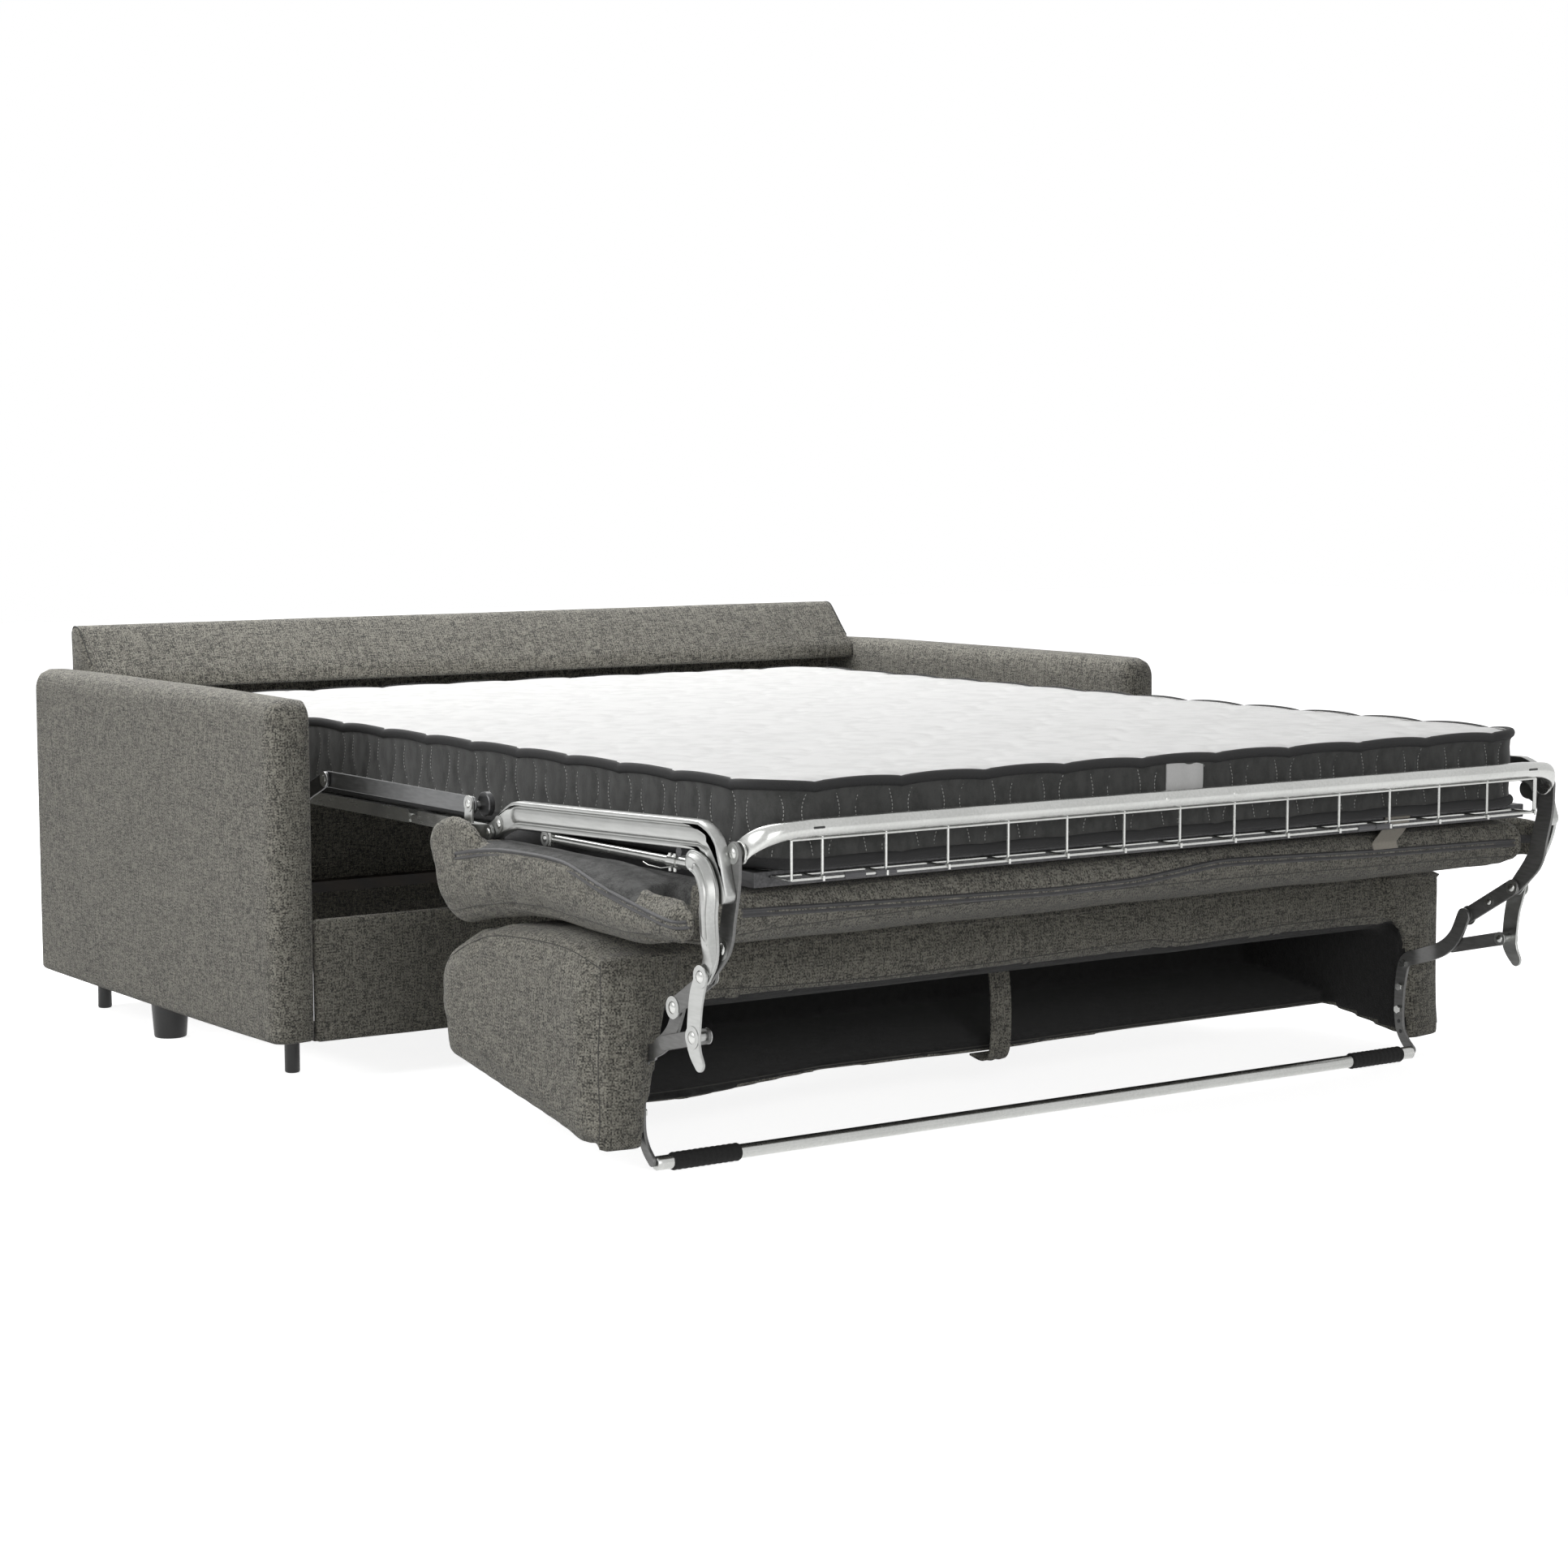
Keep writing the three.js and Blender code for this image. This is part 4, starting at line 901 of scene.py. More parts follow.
# The mattress: quilted white top, stitched dark border, black tape along both edges.
mattress = {
    "thickness": 0.1148,
    "cell": 0.0064,
    "corner": 0.07,
    "crown": 0.002,
    "crownRun": 0.17,
    "quiltPitch": 0.098,
    "quiltWave": 0.023,
    "quiltDepth": 0.0019,
    "quiltGroove": 0.0075,
    "puffPitch": 0.137,
    "puffRise": 0.0028,
    "puffPlace": 0.055,
    "puffRun": 0.05,
    "edgeRun": 0.03,
    "edgeDrop": 0.003,
    "borderPitch": 0.043,
    "borderWave": 0.0085,
    "borderDepth": 0.0036,
    "borderPuff": 0.0022,
    "borderGroove": 0.0062,
    "tapeRadius": 0.0063,
    "tapeSway": 0.0022,
    "stitchPitch": 0.0052,
    "stitchLength": 0.003,
    "stitchRadius": 0.00055,
    "cuts": (0.65, 1.2075),
}
mattress["low"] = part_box("mattress_foot")[0].z
mattress["top"] = mattress["low"] + mattress["thickness"]
mattress["half"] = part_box("mattress_foot")[1].x
mattress["head"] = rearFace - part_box("mattress_head")[1].y
mattress["foot"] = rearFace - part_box("mattress_foot")[0].y
# Each piece lists two bodies, a place from and a place to, and the solids that it stands for; the piece is
# not bent between them.
mattressFolds = (
    ("Head", "head_section", "headrest", 0.43, 0.13, ("mattress_head",)),
    ("Middle", "head_section", "middle_section", 0.955, 1.195,
     ("mattress_upper", "mattress_upper_fold", "mattress_middle")),
    ("Foot", "middle_section", "foot_section", 1.22, 1.46, ("mattress_foot_fold", "mattress_foot")),
)
wallShape = [(0.0, 0.012), (0.02, 0.0065), (0.05, 0.0025), (0.09, 0.0012), (0.14, 0.004), (0.22, 0.0055),
             (0.32, 0.005), (0.42, 0.0045), (0.5, 0.0045), (0.58, 0.0045), (0.68, 0.005), (0.78, 0.0055),
             (0.86, 0.004), (0.91, 0.0012), (0.95, 0.0025), (0.98, 0.0065), (1.0, 0.012)]


# How far a point lies from the nearest of a row of wavy lines, each the mirror of its neighbour.
def waveGap(along, pitch, bend):
    nearest = np.round(along / pitch)
    gaps = []
    for line in (nearest - 1, nearest, nearest + 1):
        mirror = np.where(np.mod(line, 2) < 0.5, 1, -1)
        gaps.append(np.abs(along - (line * pitch + mirror * bend)))
    return np.minimum.reduce(gaps)


def edgeSway(along):
    return np.abs(np.sin(math.pi * along / mattress["puffPitch"])) ** 0.6


def mattressGrid():
    form = mattress
    first, second = form["cuts"]
    places = np.concatenate([spaced(form["head"], first, form["cell"])[:-1],
                             spaced(first, second, form["cell"])[:-1],
                             spaced(second, form["foot"], form["cell"])])
    grid = PadGrid(spaced(-form["half"], form["half"], form["cell"]), places, form["corner"], form["cuts"])
    form["puffPitch"] = grid.evenPitch(form["puffPitch"])
    form["borderPitch"] = grid.evenPitch(form["borderPitch"], 2)
    return grid


def mattressSurfaces(grid):
    form = mattress
    distance = grid.edgeDistance()
    x, place = grid.plan[..., 0], grid.plan[..., 1]
    gap = waveGap(x, form["quiltPitch"], form["quiltWave"] * np.sin(math.pi * place / form["quiltPitch"]))
    groove = np.exp(-(gap / form["quiltGroove"]) ** 2)
    rise = form["crown"] * np.clip(distance / form["crownRun"], 0, 1) ** 0.5
    alongX = np.abs(np.sin(math.pi * x / form["puffPitch"]))
    alongPlace = np.abs(np.sin(math.pi * place / form["puffPitch"]))
    endward = (form["half"] - np.abs(x)) > np.minimum(place - form["head"], form["foot"] - place)
    scallop = np.where(endward, alongX, alongPlace) ** 0.7
    puff = form["puffRise"] * scallop * np.exp(-((distance - form["puffPlace"]) / form["puffRun"]) ** 2)
    quilt = -form["quiltDepth"] * groove * np.clip(distance / form["edgeRun"], 0, 1)
    inside = easeStep(0, form["edgeRun"], distance)
    relief = rise + puff + quilt + waver(x, place, 0.21) * 0.0008
    top = form["top"] - form["edgeDrop"] * (1 - inside) + inside * relief
    return top, np.full(x.shape, form["low"]) + 0.0006


def mattressWall(grid):
    form = mattress
    rings = []
    sway = edgeSway(grid.along)
    for share, inset in wallShape:
        bend = form["borderWave"] * math.sin(2 * math.pi * share + 0.6)
        gap = waveGap(grid.along, form["borderPitch"], bend)
        inWall = np.exp(-((share - 0.5) / 0.36) ** 6)
        groove = form["borderDepth"] * np.exp(-(gap / form["borderGroove"]) ** 2)
        puff = (form["borderPuff"] - groove) * inWall
        near = np.exp(-((share - 1) / 0.2) ** 2)
        out = puff - inset + near * form["tapeSway"] * (sway - 0.6)
        level = form["low"] + form["thickness"] * share + near * form["tapeSway"] * (sway - 0.5) * 1.4
        rings.append((out, level))
    return rings


def makeMattress():
    grid = mattressGrid()
    top, bottom = mattressSurfaces(grid)
    wall = mattressWall(grid)
    bounds = [0, *grid.cuts, len(grid.places) - 1]
    for first, last, (label, *fold) in zip(bounds, bounds[1:], mattressFolds):
        makeMattressPiece(grid, top, bottom, wall, first, last, label, fold)


# Picks out the grid between two place lines and closes it with its walls, or with flat cut ends.
def makeMattressPiece(grid, top, bottom, wall, first, last, label, fold):
    columns = len(grid.xs)
    lines = last - first + 1
    points, faces, tones = [], [], []
    rimIndex = {corner: index for index, corner in enumerate(grid.rim)}
    topIds = np.zeros((columns, lines), int)
    lowIds = np.zeros((columns, lines), int)
    for surface, ids, levelIndex in ((top, topIds, -1), (bottom, lowIds, 0)):
        for column in range(columns):
            for line in range(lines):
                key = (column, first + line)
                x, place = grid.plan[key]
                height = surface[key]
                if key in rimIndex:
                    out, level = wall[levelIndex]
                    edge = rimIndex[key]
                    x += grid.out[edge, 0] * out[edge]
                    place += grid.out[edge, 1] * out[edge]
                    height = np.broadcast_to(level, grid.along.shape)[edge]
                ids[column, line] = len(points)
                points.append((x, row(place), height))
    for column in range(columns - 1):
        for line in range(lines - 1):
            around = [(column, line), (column + 1, line), (column + 1, line + 1), (column, line + 1)]
            faces.append([topIds[corner] for corner in around])
            tones.append(0)
            faces.append([lowIds[corner] for corner in reversed(around)])
            tones.append(1)
    runs = rimRuns(columns, first, last, len(grid.places) - 1)
    capEdges = []
    for run in runs:
        ringIds = []
        for level, (out, height) in enumerate(wall):
            ids = []
            for key in run:
                if level in (0, len(wall) - 1):
                    ids.append((topIds if level else lowIds)[key[0], key[1] - first])
                    continue
                edge = rimIndex[key]
                x, place = grid.edge[edge] + grid.out[edge] * out[edge]
                ids.append(len(points))
                points.append((x, row(place), np.broadcast_to(height, grid.along.shape)[edge]))
            ringIds.append(ids)
        for level in range(len(wall) - 1):
            for step in range(len(run) - 1):
                faces.append([ringIds[level][step], ringIds[level][step + 1], ringIds[level + 1][step + 1],
                              ringIds[level + 1][step]])
                tones.append(1)
        capEdges.append((run, ringIds))
    for line, absolute in ((0, first), (lines - 1, last)):
        if absolute in (0, len(grid.places) - 1):
            continue
        loop = [topIds[column, line] for column in range(columns)]
        loop += sideIds(capEdges, (columns - 1, absolute), falling=True)
        loop += [lowIds[column, line] for column in range(columns - 1, -1, -1)]
        loop += sideIds(capEdges, (0, absolute), falling=False)
        faces.append(loop)
        tones.append(1)
    pad = makeTwoTone(f"mattress{label}", points, faces, tones, ("knit", "velvet"))
    finishFold(pad, fold)
    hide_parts(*fold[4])
    makeTape(grid, runs, rimIndex, label, fold)
    makeBorderStitches(grid, runs, rimIndex, label, fold)


def sideIds(capEdges, key, falling):
    for run, ringIds in capEdges:
        if key in (run[0], run[-1]):
            column = [ids[0 if run[0] == key else -1] for ids in ringIds][1:-1]
            return column[::-1] if falling else column
    return []


# The stretches of the rim that a piece has: an end with its corners, or two straight sides.
def rimRuns(columns, first, last, end):
    left = [(0, line) for line in range(first, last + 1)]
    right = [(columns - 1, line) for line in range(first, last + 1)]
    if first == 0:
        return [left[::-1] + [(column, 0) for column in range(1, columns)] + right[1:]]
    if last == end:
        return [right + [(column, end) for column in range(columns - 2, -1, -1)] + left[::-1][1:]]
    return [left, right]


def finishFold(made, fold):
    bodyA, bodyB, start, end = fold[:4]
    spot(0, start, 0.42)
    spot(0, end, 0.42)
    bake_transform(made)


def makeTwoTone(name, points, faces, tones, names, smooth=50):
    mesh = bpy.data.meshes.new(name)
    mesh.from_pydata(points, [], faces)
    for finish in names:
        mesh.materials.append(finishes[finish])
    mesh.polygons.foreach_set("material_index", tones)
    tidyShell(mesh, smooth)
    made = addObject(name, mesh)
    mapByFacing(made)
    return made


def makeTape(grid, runs, rimIndex, label, fold):
    form = mattress
    tapes = Shape()
    for level in (form["low"] + 0.008, form["top"] - 0.006):
        upper = level > form["low"] + 0.05
        for run in runs:
            path = []
            for key in run:
                edge = rimIndex[key]
                sway = (edgeSway(grid.along[edge]) - 0.5) * form["tapeSway"] * (1.5 if upper else 0.7)
                x, place = grid.edge[edge] + grid.out[edge] * (sway * 0.7 - 0.0035)
                path.append((x, row(place), level + sway * 1.4))
            tapes.tube(path, form["tapeRadius"], 12, flat=1.15)
    finishFold(tapes.build(f"mattressTape{label}", "tape", smooth=60), fold)


def makeBorderStitches(grid, runs, rimIndex, label, fold):
    form = mattress
    height = form["thickness"]
    spots, turns = [], []
    shares = np.arange(0.17, 0.86, form["stitchPitch"] / height)
    for run in runs:
        edges = np.array([rimIndex[key] for key in run])
        along = np.unwrap(grid.along[edges], period=grid.girth)
        order = np.argsort(along)
        along, edges = along[order], edges[order]
        start, end = along[0] / form["borderPitch"], along[-1] / form["borderPitch"]
        for line in range(int(np.ceil(start)), int(end) + 1):
            mirror = 1 if line % 2 == 0 else -1
            for share in shares:
                wave = 2 * math.pi * share + 0.6
                at = line * form["borderPitch"] + mirror * form["borderWave"] * math.sin(wave)
                if not along[0] < at < along[-1]:
                    continue
                out, base, ahead = ([np.interp(at, along, values[edges, axis]) for axis in (0, 1)]
                                    for values in (grid.out, grid.edge, grid.ahead))
                stand = form["borderPuff"] - form["borderDepth"] - between(wallShape, share)
                stand += form["stitchRadius"] * 1.2
                x, place = (start + away * stand for start, away in zip(base, out))
                spots.append(spot(x, place, form["low"] + height * share))
                lean = mirror * form["borderWave"] * 2 * math.pi / height * math.cos(wave)
                turns.append((0.0, math.atan(lean), math.atan2(-ahead[1], ahead[0])))
    sizes = {"Radius": form["stitchRadius"], "Length": form["stitchLength"]}
    made = repeatOnPoints(f"borderStitches{label}", spots, turns, None, "thread", sizes, "whiteThread")
    finishFold(made, fold)


# Geometry Nodes: one small shape set on each point, turned and sized by the point's own values.
unitShapes = {
    "thread": ("GeometryNodeMeshCylinder", {"Vertices": 5}, {"Radius": "Radius", "Depth": "Length"}),
    "rivet": ("GeometryNodeMeshUVSphere", {"Segments": 20, "Rings": 10}, {"Radius": "Radius"}),
    "hexagon": ("GeometryNodeMeshCylinder", {"Vertices": 6}, {"Radius": "Radius", "Depth": "Length"}),
    "washer": ("GeometryNodeMeshCylinder", {"Vertices": 28}, {"Radius": "Radius", "Depth": "Length"}),
    "own": ("GeometryNodeObjectInfo", {}, {}),
}


def repeatTree(kind, finish):
    own = not isinstance(kind, str)
    name = f"{kind.name if own else kind}_{finish}"
    if name in bpy.data.node_groups:
        return bpy.data.node_groups[name]
    tree = bpy.data.node_groups.new(name, "GeometryNodeTree")
    tree.interface.new_socket("Points", in_out="INPUT", socket_type="NodeSocketGeometry")
    for size in ("Radius", "Length"):
        tree.interface.new_socket(size, in_out="INPUT", socket_type="NodeSocketFloat")
    tree.interface.new_socket("Geometry", in_out="OUTPUT", socket_type="NodeSocketGeometry")
    source = tree.nodes.new("NodeGroupInput")
    output = tree.nodes.new("NodeGroupOutput")
    nodeKind, counts, named = unitShapes["own" if own else kind]
    unit = tree.nodes.new(nodeKind)
    for key, value in counts.items():
        unit.inputs[key].default_value = value
    for key, size in named.items():
        tree.links.new(source.outputs[size], unit.inputs[key])
    if own:
        unit.inputs["Object"].default_value = kind
    instances = tree.nodes.new("GeometryNodeInstanceOnPoints")
    tree.links.new(source.outputs["Points"], instances.inputs["Points"])
    tree.links.new(unit.outputs["Geometry" if own else "Mesh"], instances.inputs["Instance"])
    for attribute, socket in (("turn", "Rotation"), ("size", "Scale")):
        values = tree.nodes.new("GeometryNodeInputNamedAttribute")
        values.data_type = "FLOAT_VECTOR"
        values.inputs["Name"].default_value = attribute
        tree.links.new(values.outputs["Attribute"], instances.inputs[socket])
    realize = tree.nodes.new("GeometryNodeRealizeInstances")
    paint = tree.nodes.new("GeometryNodeSetMaterial")
    paint.inputs["Material"].default_value = finishes[finish]
    tree.links.new(instances.outputs["Instances"], realize.inputs["Geometry"])
    tree.links.new(realize.outputs["Geometry"], paint.inputs["Geometry"])
    tree.links.new(paint.outputs["Geometry"], output.inputs["Geometry"])
    return tree


def repeatOnPoints(name, spots, turns, scales, kind, sizes, finish):
    mesh = bpy.data.meshes.new(name)
    mesh.from_pydata([tuple(place) for place in spots], [], [])
    values = {"turn": turns or [(0, 0, 0)] * len(spots), "size": scales or [(1, 1, 1)] * len(spots)}
    for attribute, rows in values.items():
        layer = mesh.attributes.new(attribute, "FLOAT_VECTOR", "POINT")
        layer.data.foreach_set("vector", np.array(rows, float).ravel())
    made = addObject(name, mesh)
    tree = repeatTree(kind, finish)
    modifier = made.modifiers.new("repeat", "NODES")
    modifier.node_group = tree
    for socket in tree.interface.items_tree:
        if socket.name in sizes:
            modifier[socket.identifier] = sizes[socket.name]
    settle(made, 40)
    if not made.data.materials:
        made.data.materials.append(finishes[finish])
    return made


# Joins closed shells into one skin, lets it swell like a stuffed cover, and gives it its cloths again.
def sewnShell(name, shapes, voxel, chooseCloth, cloths, fullness, cap):
    gathered = Shape()
    for shape in shapes:
        gathered.join(shape)
    made = makeMesh(name, gathered.points, gathered.faces, finishes[cloths[0]], None, 60)
    remesh = made.modifiers.new("skin", "REMESH")
    remesh.mode = "VOXEL"
    remesh.voxel_size = voxel
    soften = made.modifiers.new("soften", "SMOOTH")
    soften.factor, soften.iterations = 0.5, 4
    settle(made)
    swell(made, fullness, cap)
    mesh = made.data
    mesh.materials.clear()
    for cloth in cloths:
        mesh.materials.append(finishes[cloth])
    tones = [chooseCloth(face.center, face.normal) for face in mesh.polygons]
    mesh.polygons.foreach_set("material_index", tones)
    shade(mesh, 60)
    mapByFacing(made)
    return made


# Blender's cloth, blown up a little from inside. No point may move further than its own cap.
def swell(made, fullness, cap):
    mesh = made.data
    start = pull(mesh.vertices, "co", 3)
    cloth = made.modifiers.new("cloth", "CLOTH")
    cloth.settings.quality = 3
    cloth.settings.use_pressure = True
    cloth.settings.uniform_pressure_force = fullness
    cloth.settings.effector_weights.gravity = 0
    scene = bpy.context.scene
    for step in range(1, 15):
        scene.frame_set(step)
    blown = made.evaluated_get(bpy.context.evaluated_depsgraph_get()).to_mesh()
    move = pull(blown.vertices, "co", 3) - start
    length = np.linalg.norm(move, axis=1)
    allowed = cap(start)
    move *= (np.minimum(length, allowed) / np.maximum(length, 1e-9))[:, None]
    made.modifiers.clear()
    scene.frame_set(1)
    mesh.vertices.foreach_set("co", (start + move).ravel())
    mesh.update()


def between(points, value):
    return np.interp(value, *zip(*points))


def easeStep(low, high, value):
    share = np.clip((value - low) / (high - low), 0, 1)
    return share * share * (3 - 2 * share)


rimGaps = [0, 0.0012, 0.0035, 0.007, 0.012, 0.019, 0.028, 0.04]


# Grid lines that crowd together towards both edges, where the pad is rounded.
def rimLines(low, high, step, extra=()):
    lines = [low + gap for gap in rimGaps[:-1]] + [high - gap for gap in rimGaps[:-1]] + list(extra)
    lines += list(spaced(low + rimGaps[-1], high - rimGaps[-1], step))
    lines = np.unique(np.round(lines, 5))
    return lines[np.concatenate([[True], np.diff(lines) > 0.0008])]


# The seat cushion, lying face down under the foot section: a woven cover below its zip, felt above.
seat = {
    "half": 0.806,
    "rear": 1.296,
    "front": 1.982,
    "corner": 0.04,
    "step": 0.016,
    "voxel": 0.0065,
    "endZip": [(1.296, 0.388), (1.394, 0.402), (1.448, 0.412), (1.501, 0.417), (1.604, 0.419), (1.681, 0.417),
               (1.735, 0.406), (1.788, 0.393), (1.839, 0.384), (1.89, 0.376), (1.95, 0.369), (1.99, 0.367)],
    "endLow": [(1.296, 0.322), (1.307, 0.311), (1.349, 0.297), (1.41, 0.312), (1.511, 0.328), (1.602, 0.331),
               (1.68, 0.328), (1.839, 0.326), (1.905, 0.332), (1.955, 0.350), (1.99, 0.358)],
    "middleLow": [(1.296, 0.338), (1.35, 0.33), (1.45, 0.325), (1.88, 0.325), (1.95, 0.340), (1.99, 0.352)],
    "frontZip": [(-0.806, 0.367), (-0.769, 0.375), (-0.728, 0.379), (-0.468, 0.372), (-0.189, 0.366),
                 (-0.042, 0.368), (0.111, 0.384), (0.434, 0.375), (0.659, 0.372), (0.806, 0.369)],
    "frontLow": [(-0.806, 0.331), (-0.711, 0.337), (-0.653, 0.342), (-0.331, 0.35), (0.004, 0.348),
                 (0.27, 0.345), (0.607, 0.341), (0.806, 0.334)],
    "rearRim": 0.395,
    "endRun": (0.66, 0.785),
    "frontRun": (1.9, 1.97),
    "boardTop": 0.4115,
    "bulgeTop": 0.4235,
    "bulgeInner": 0.722,
    "bulgeRear": (1.36, 1.44),
    "bulgeFront": (1.74, 1.86),
    "lipPlace": 1.895,
    "lipTop": 0.402,
    "lowRound": 0.052,
    "topRound": 0.034,
    "boxiness": 2.5,
    "slotInner": 0.7355,
    "slotOuter": 0.7745,
    "slotSoft": 0.007,
    "slotPlace": 1.84,
    "slotLines": (0.7285, 0.733, 0.7355, 0.738, 0.755, 0.772, 0.7745, 0.777, 0.7815),
    "curl": [(1.306, 0.385), (1.293, 0.41), (1.305, 0.436), (1.342, 0.453), (1.378, 0.455), (1.41, 0.446),
             (1.432, 0.424), (1.42, 0.40), (1.37, 0.385)],
    "curlInner": 0.784,
    "zipWidth": 0.0125,
    "zipStart": 1.37,
    "cornerReach": 0.005,
}


def makeSeat():
    form = seat
    slots = [sign * x for sign in (-1, 1) for x in form["slotLines"]]
    xs = rimLines(-form["half"], form["half"], form["step"], slots)
    places = rimLines(form["rear"], form["front"], form["step"], (form["slotPlace"],))
    grid = PadGrid(xs, places, form["corner"])
    shapes = [seatShell(grid)] + [curlShell(sign) for sign in (-1, 1)]
    cover = sewnShell("seatCover", shapes, form["voxel"], seatCloth, ("melange", "felt"), 3.0, seatCap)
    follow(cover, "foot_section", "melange_fabric", "seat_cushion", "seat_panel")
    makeZip(cover, grid)
    makeSeatSeams(cover)
    makeStrap(cover)


# The pale webbing strap that hangs from the frame to the cushion.
strap = {"left": 0.415, "right": 0.465, "thickness": 0.0016, "stand": 0.0022,
         "path": [(2.0, 0.4345), (1.999, 0.424), (1.993, 0.412), (1.982, 0.4), (1.972, 0.389),
                  (1.966, 0.3805)]}


def makeStrap(cover):
    surface = Surface(cover)
    middle = (strap["left"] + strap["right"]) / 2
    half, thick = (strap["right"] - strap["left"]) / 2, strap["thickness"] / 2
    line = []
    for place, height in smoothPath(strap["path"], 8):
        hit = surface.meet(spot(middle, 2.1, height), (0, 1, 0), strap["stand"])
        rowPlace = row(place) if hit is None else min(row(place), hit.y)
        line.append((Vector((middle, rowPlace, height)), Vector((0, -1, 0.3)).normalized()))
    section = np.array([(-half, -thick), (-half, thick), (-half / 2, thick), (0, thick), (half / 2, thick),
                        (half, thick), (half, -thick), (0, -thick)])
    made = layStrip(line, section).fit("footStrap", "webbing", "foot_section", "grey_lining", smooth=60)


def slotShare(x):
    soft = seat["slotSoft"]
    inner = easeStep(seat["slotInner"] - soft, seat["slotInner"], np.abs(x))
    return inner * (1 - easeStep(seat["slotOuter"], seat["slotOuter"] + soft, np.abs(x)))


def rimHeight(x, place):
    form = seat
    atEnd = easeStep(form["half"] - 0.11, form["half"] - 0.03, np.abs(x))
    atFront = easeStep(form["front"] - 0.06, form["front"] - 0.01, place)
    level = np.where(place > 1.6, between(form["frontZip"], x), form["rearRim"])
    endShare = atEnd * (1 - atFront)
    return between(form["endZip"], place) * endShare + level * (1 - endShare)


def seatShell(grid):
    form = seat
    x, place = grid.plan[..., 0], grid.plan[..., 1]
    near = grid.edgeDistance()
    rim = rimHeight(x, place)
    power = form["boxiness"]
    lowShare = (1 - (1 - np.clip(near / form["lowRound"], 0, 1)) ** power) ** (1 / power)
    topShare = (1 - (1 - np.clip(near / form["topRound"], 0, 1)) ** 2.0) ** 0.5
    atEnd = easeStep(*form["endRun"], np.abs(x))
    low = between(form["endLow"], place) * atEnd + between(form["middleLow"], place) * (1 - atEnd)
    atFront = easeStep(*form["frontRun"], place)
    low = low * (1 - atFront) + between(form["frontLow"], x) * atFront
    low = low - 0.0022 * waver(x * 1.3, place, 0.15) * (1 - atFront)
    bulge = easeStep(form["bulgeInner"], form["bulgeInner"] + 0.022, np.abs(x))
    bulge = bulge * easeStep(*form["bulgeRear"], place) * (1 - easeStep(*form["bulgeFront"], place))
    top = form["boardTop"] + (form["bulgeTop"] - form["boardTop"]) * bulge
    lip = easeStep(form["lipPlace"] - 0.03, form["lipPlace"] + 0.06, place)
    outer = easeStep(form["bulgeInner"], form["bulgeInner"] + 0.03, np.abs(x)) * easeStep(1.72, 1.9, place)
    top = top - (form["boardTop"] - form["lipTop"]) * np.maximum(lip, outer * 0.9)
    top = top + waver(x, place * 1.4, 0.07, 2.0) * 0.0014 * easeStep(0.72, 0.75, np.abs(x))
    heights = (rim + (top - rim) * topShare, rim - (rim - low) * lowShare)
    start = form["slotPlace"]
    folded = np.where(place > start, start + (place - start) * 0.05, place)
    pulled = place + (folded - place) * slotShare(x)
    reach = form["cornerReach"] * easeStep(0.74, 0.8, np.abs(x)) * easeStep(1.7, 1.86, place)
    return gridShell(grid, x + np.sign(x) * reach, pulled, heights)


# Where a ray from outside meets a piece. It seats seams, zips and labels on the finished cloth.
class Surface:
    def __init__(self, made):
        mesh = made.data
        self.tree = BVHTree.FromPolygons([point.co.copy() for point in mesh.vertices],
                                         [tuple(face.vertices) for face in mesh.polygons])

    def meet(self, start, direction, lift=0.0):
        direction = Vector(direction).normalized()
        hit, normal, index, reach = self.tree.ray_cast(Vector(start), direction)
        return None if hit is None else hit - direction * lift

    # A line round the rim of a pad, seen from outside, at a height for each point.
    def traceRim(self, grid, edges, heightOf, lift):
        line = []
        for edge in edges:
            (x, place), (outX, outPlace) = grid.edge[edge], grid.out[edge]
            start = spot(x + outX * 0.08, place + outPlace * 0.08, heightOf(x, place))
            away = Vector((outX, -outPlace, 0))
            hit = self.meet(start, -away, lift)
            if hit is not None:
                line.append((hit, away))
        return line


# A flat or ribbed strip laid along points of a surface, each with the way that it faces.
def layStrip(line, section):
    path, outs = (np.array([tuple(pair[index]) for pair in line]) for index in (0, 1))
    for smoothing in range(3):
        path[1:-1] = (path[:-2] + path[1:-1] * 2 + path[2:]) / 4
    across = unitRows(np.cross(headings(path), outs))
    rings = [point + section[:, :1] * side + section[:, 1:] * out
             for point, side, out in zip(path, across, outs)]
    return Shape().loft(rings)


zipSection = np.array([(-1, -0.1), (-0.94, 0.16), (-0.7, 0.42), (-0.42, 0.3), (-0.2, -0.06), (0, -0.1),
                       (0.2, -0.06), (0.42, 0.3), (0.7, 0.42), (0.94, 0.16), (1, -0.1), (0, -0.3)])
seamSection = np.array([(-1, 0), (-0.7, 0.7), (0, 1), (0.7, 0.7), (1, 0), (0, -0.8)])


def makeZip(cover, grid):
    surface = Surface(cover)
    half = seat["zipWidth"] / 2
    runs = {"left": [], "front": [], "right": []}
    for edge, (x, place) in enumerate(grid.edge):
        ahead = place > seat["slotPlace"] and abs(x) < seat["slotOuter"] + 0.004
        if ahead and abs(x) < seat["slotInner"] - 0.006:
            runs["front"].append(edge)
        elif not ahead and place > seat["zipStart"]:
            runs["left" if x < 0 else "right"].append(edge)
    zips = Shape()
    for key, edges in runs.items():
        order = sorted(edges, key=lambda edge: grid.edge[edge][0] if key == "front" else grid.along[edge])
        line = surface.traceRim(grid, order, lambda x, place: float(rimHeight(x, place)), 0.0004)
        zips.join(layStrip(line, zipSection * half))
    zips.fit("seatZip", "zip", "foot_section", "grey_lining", smooth=50)


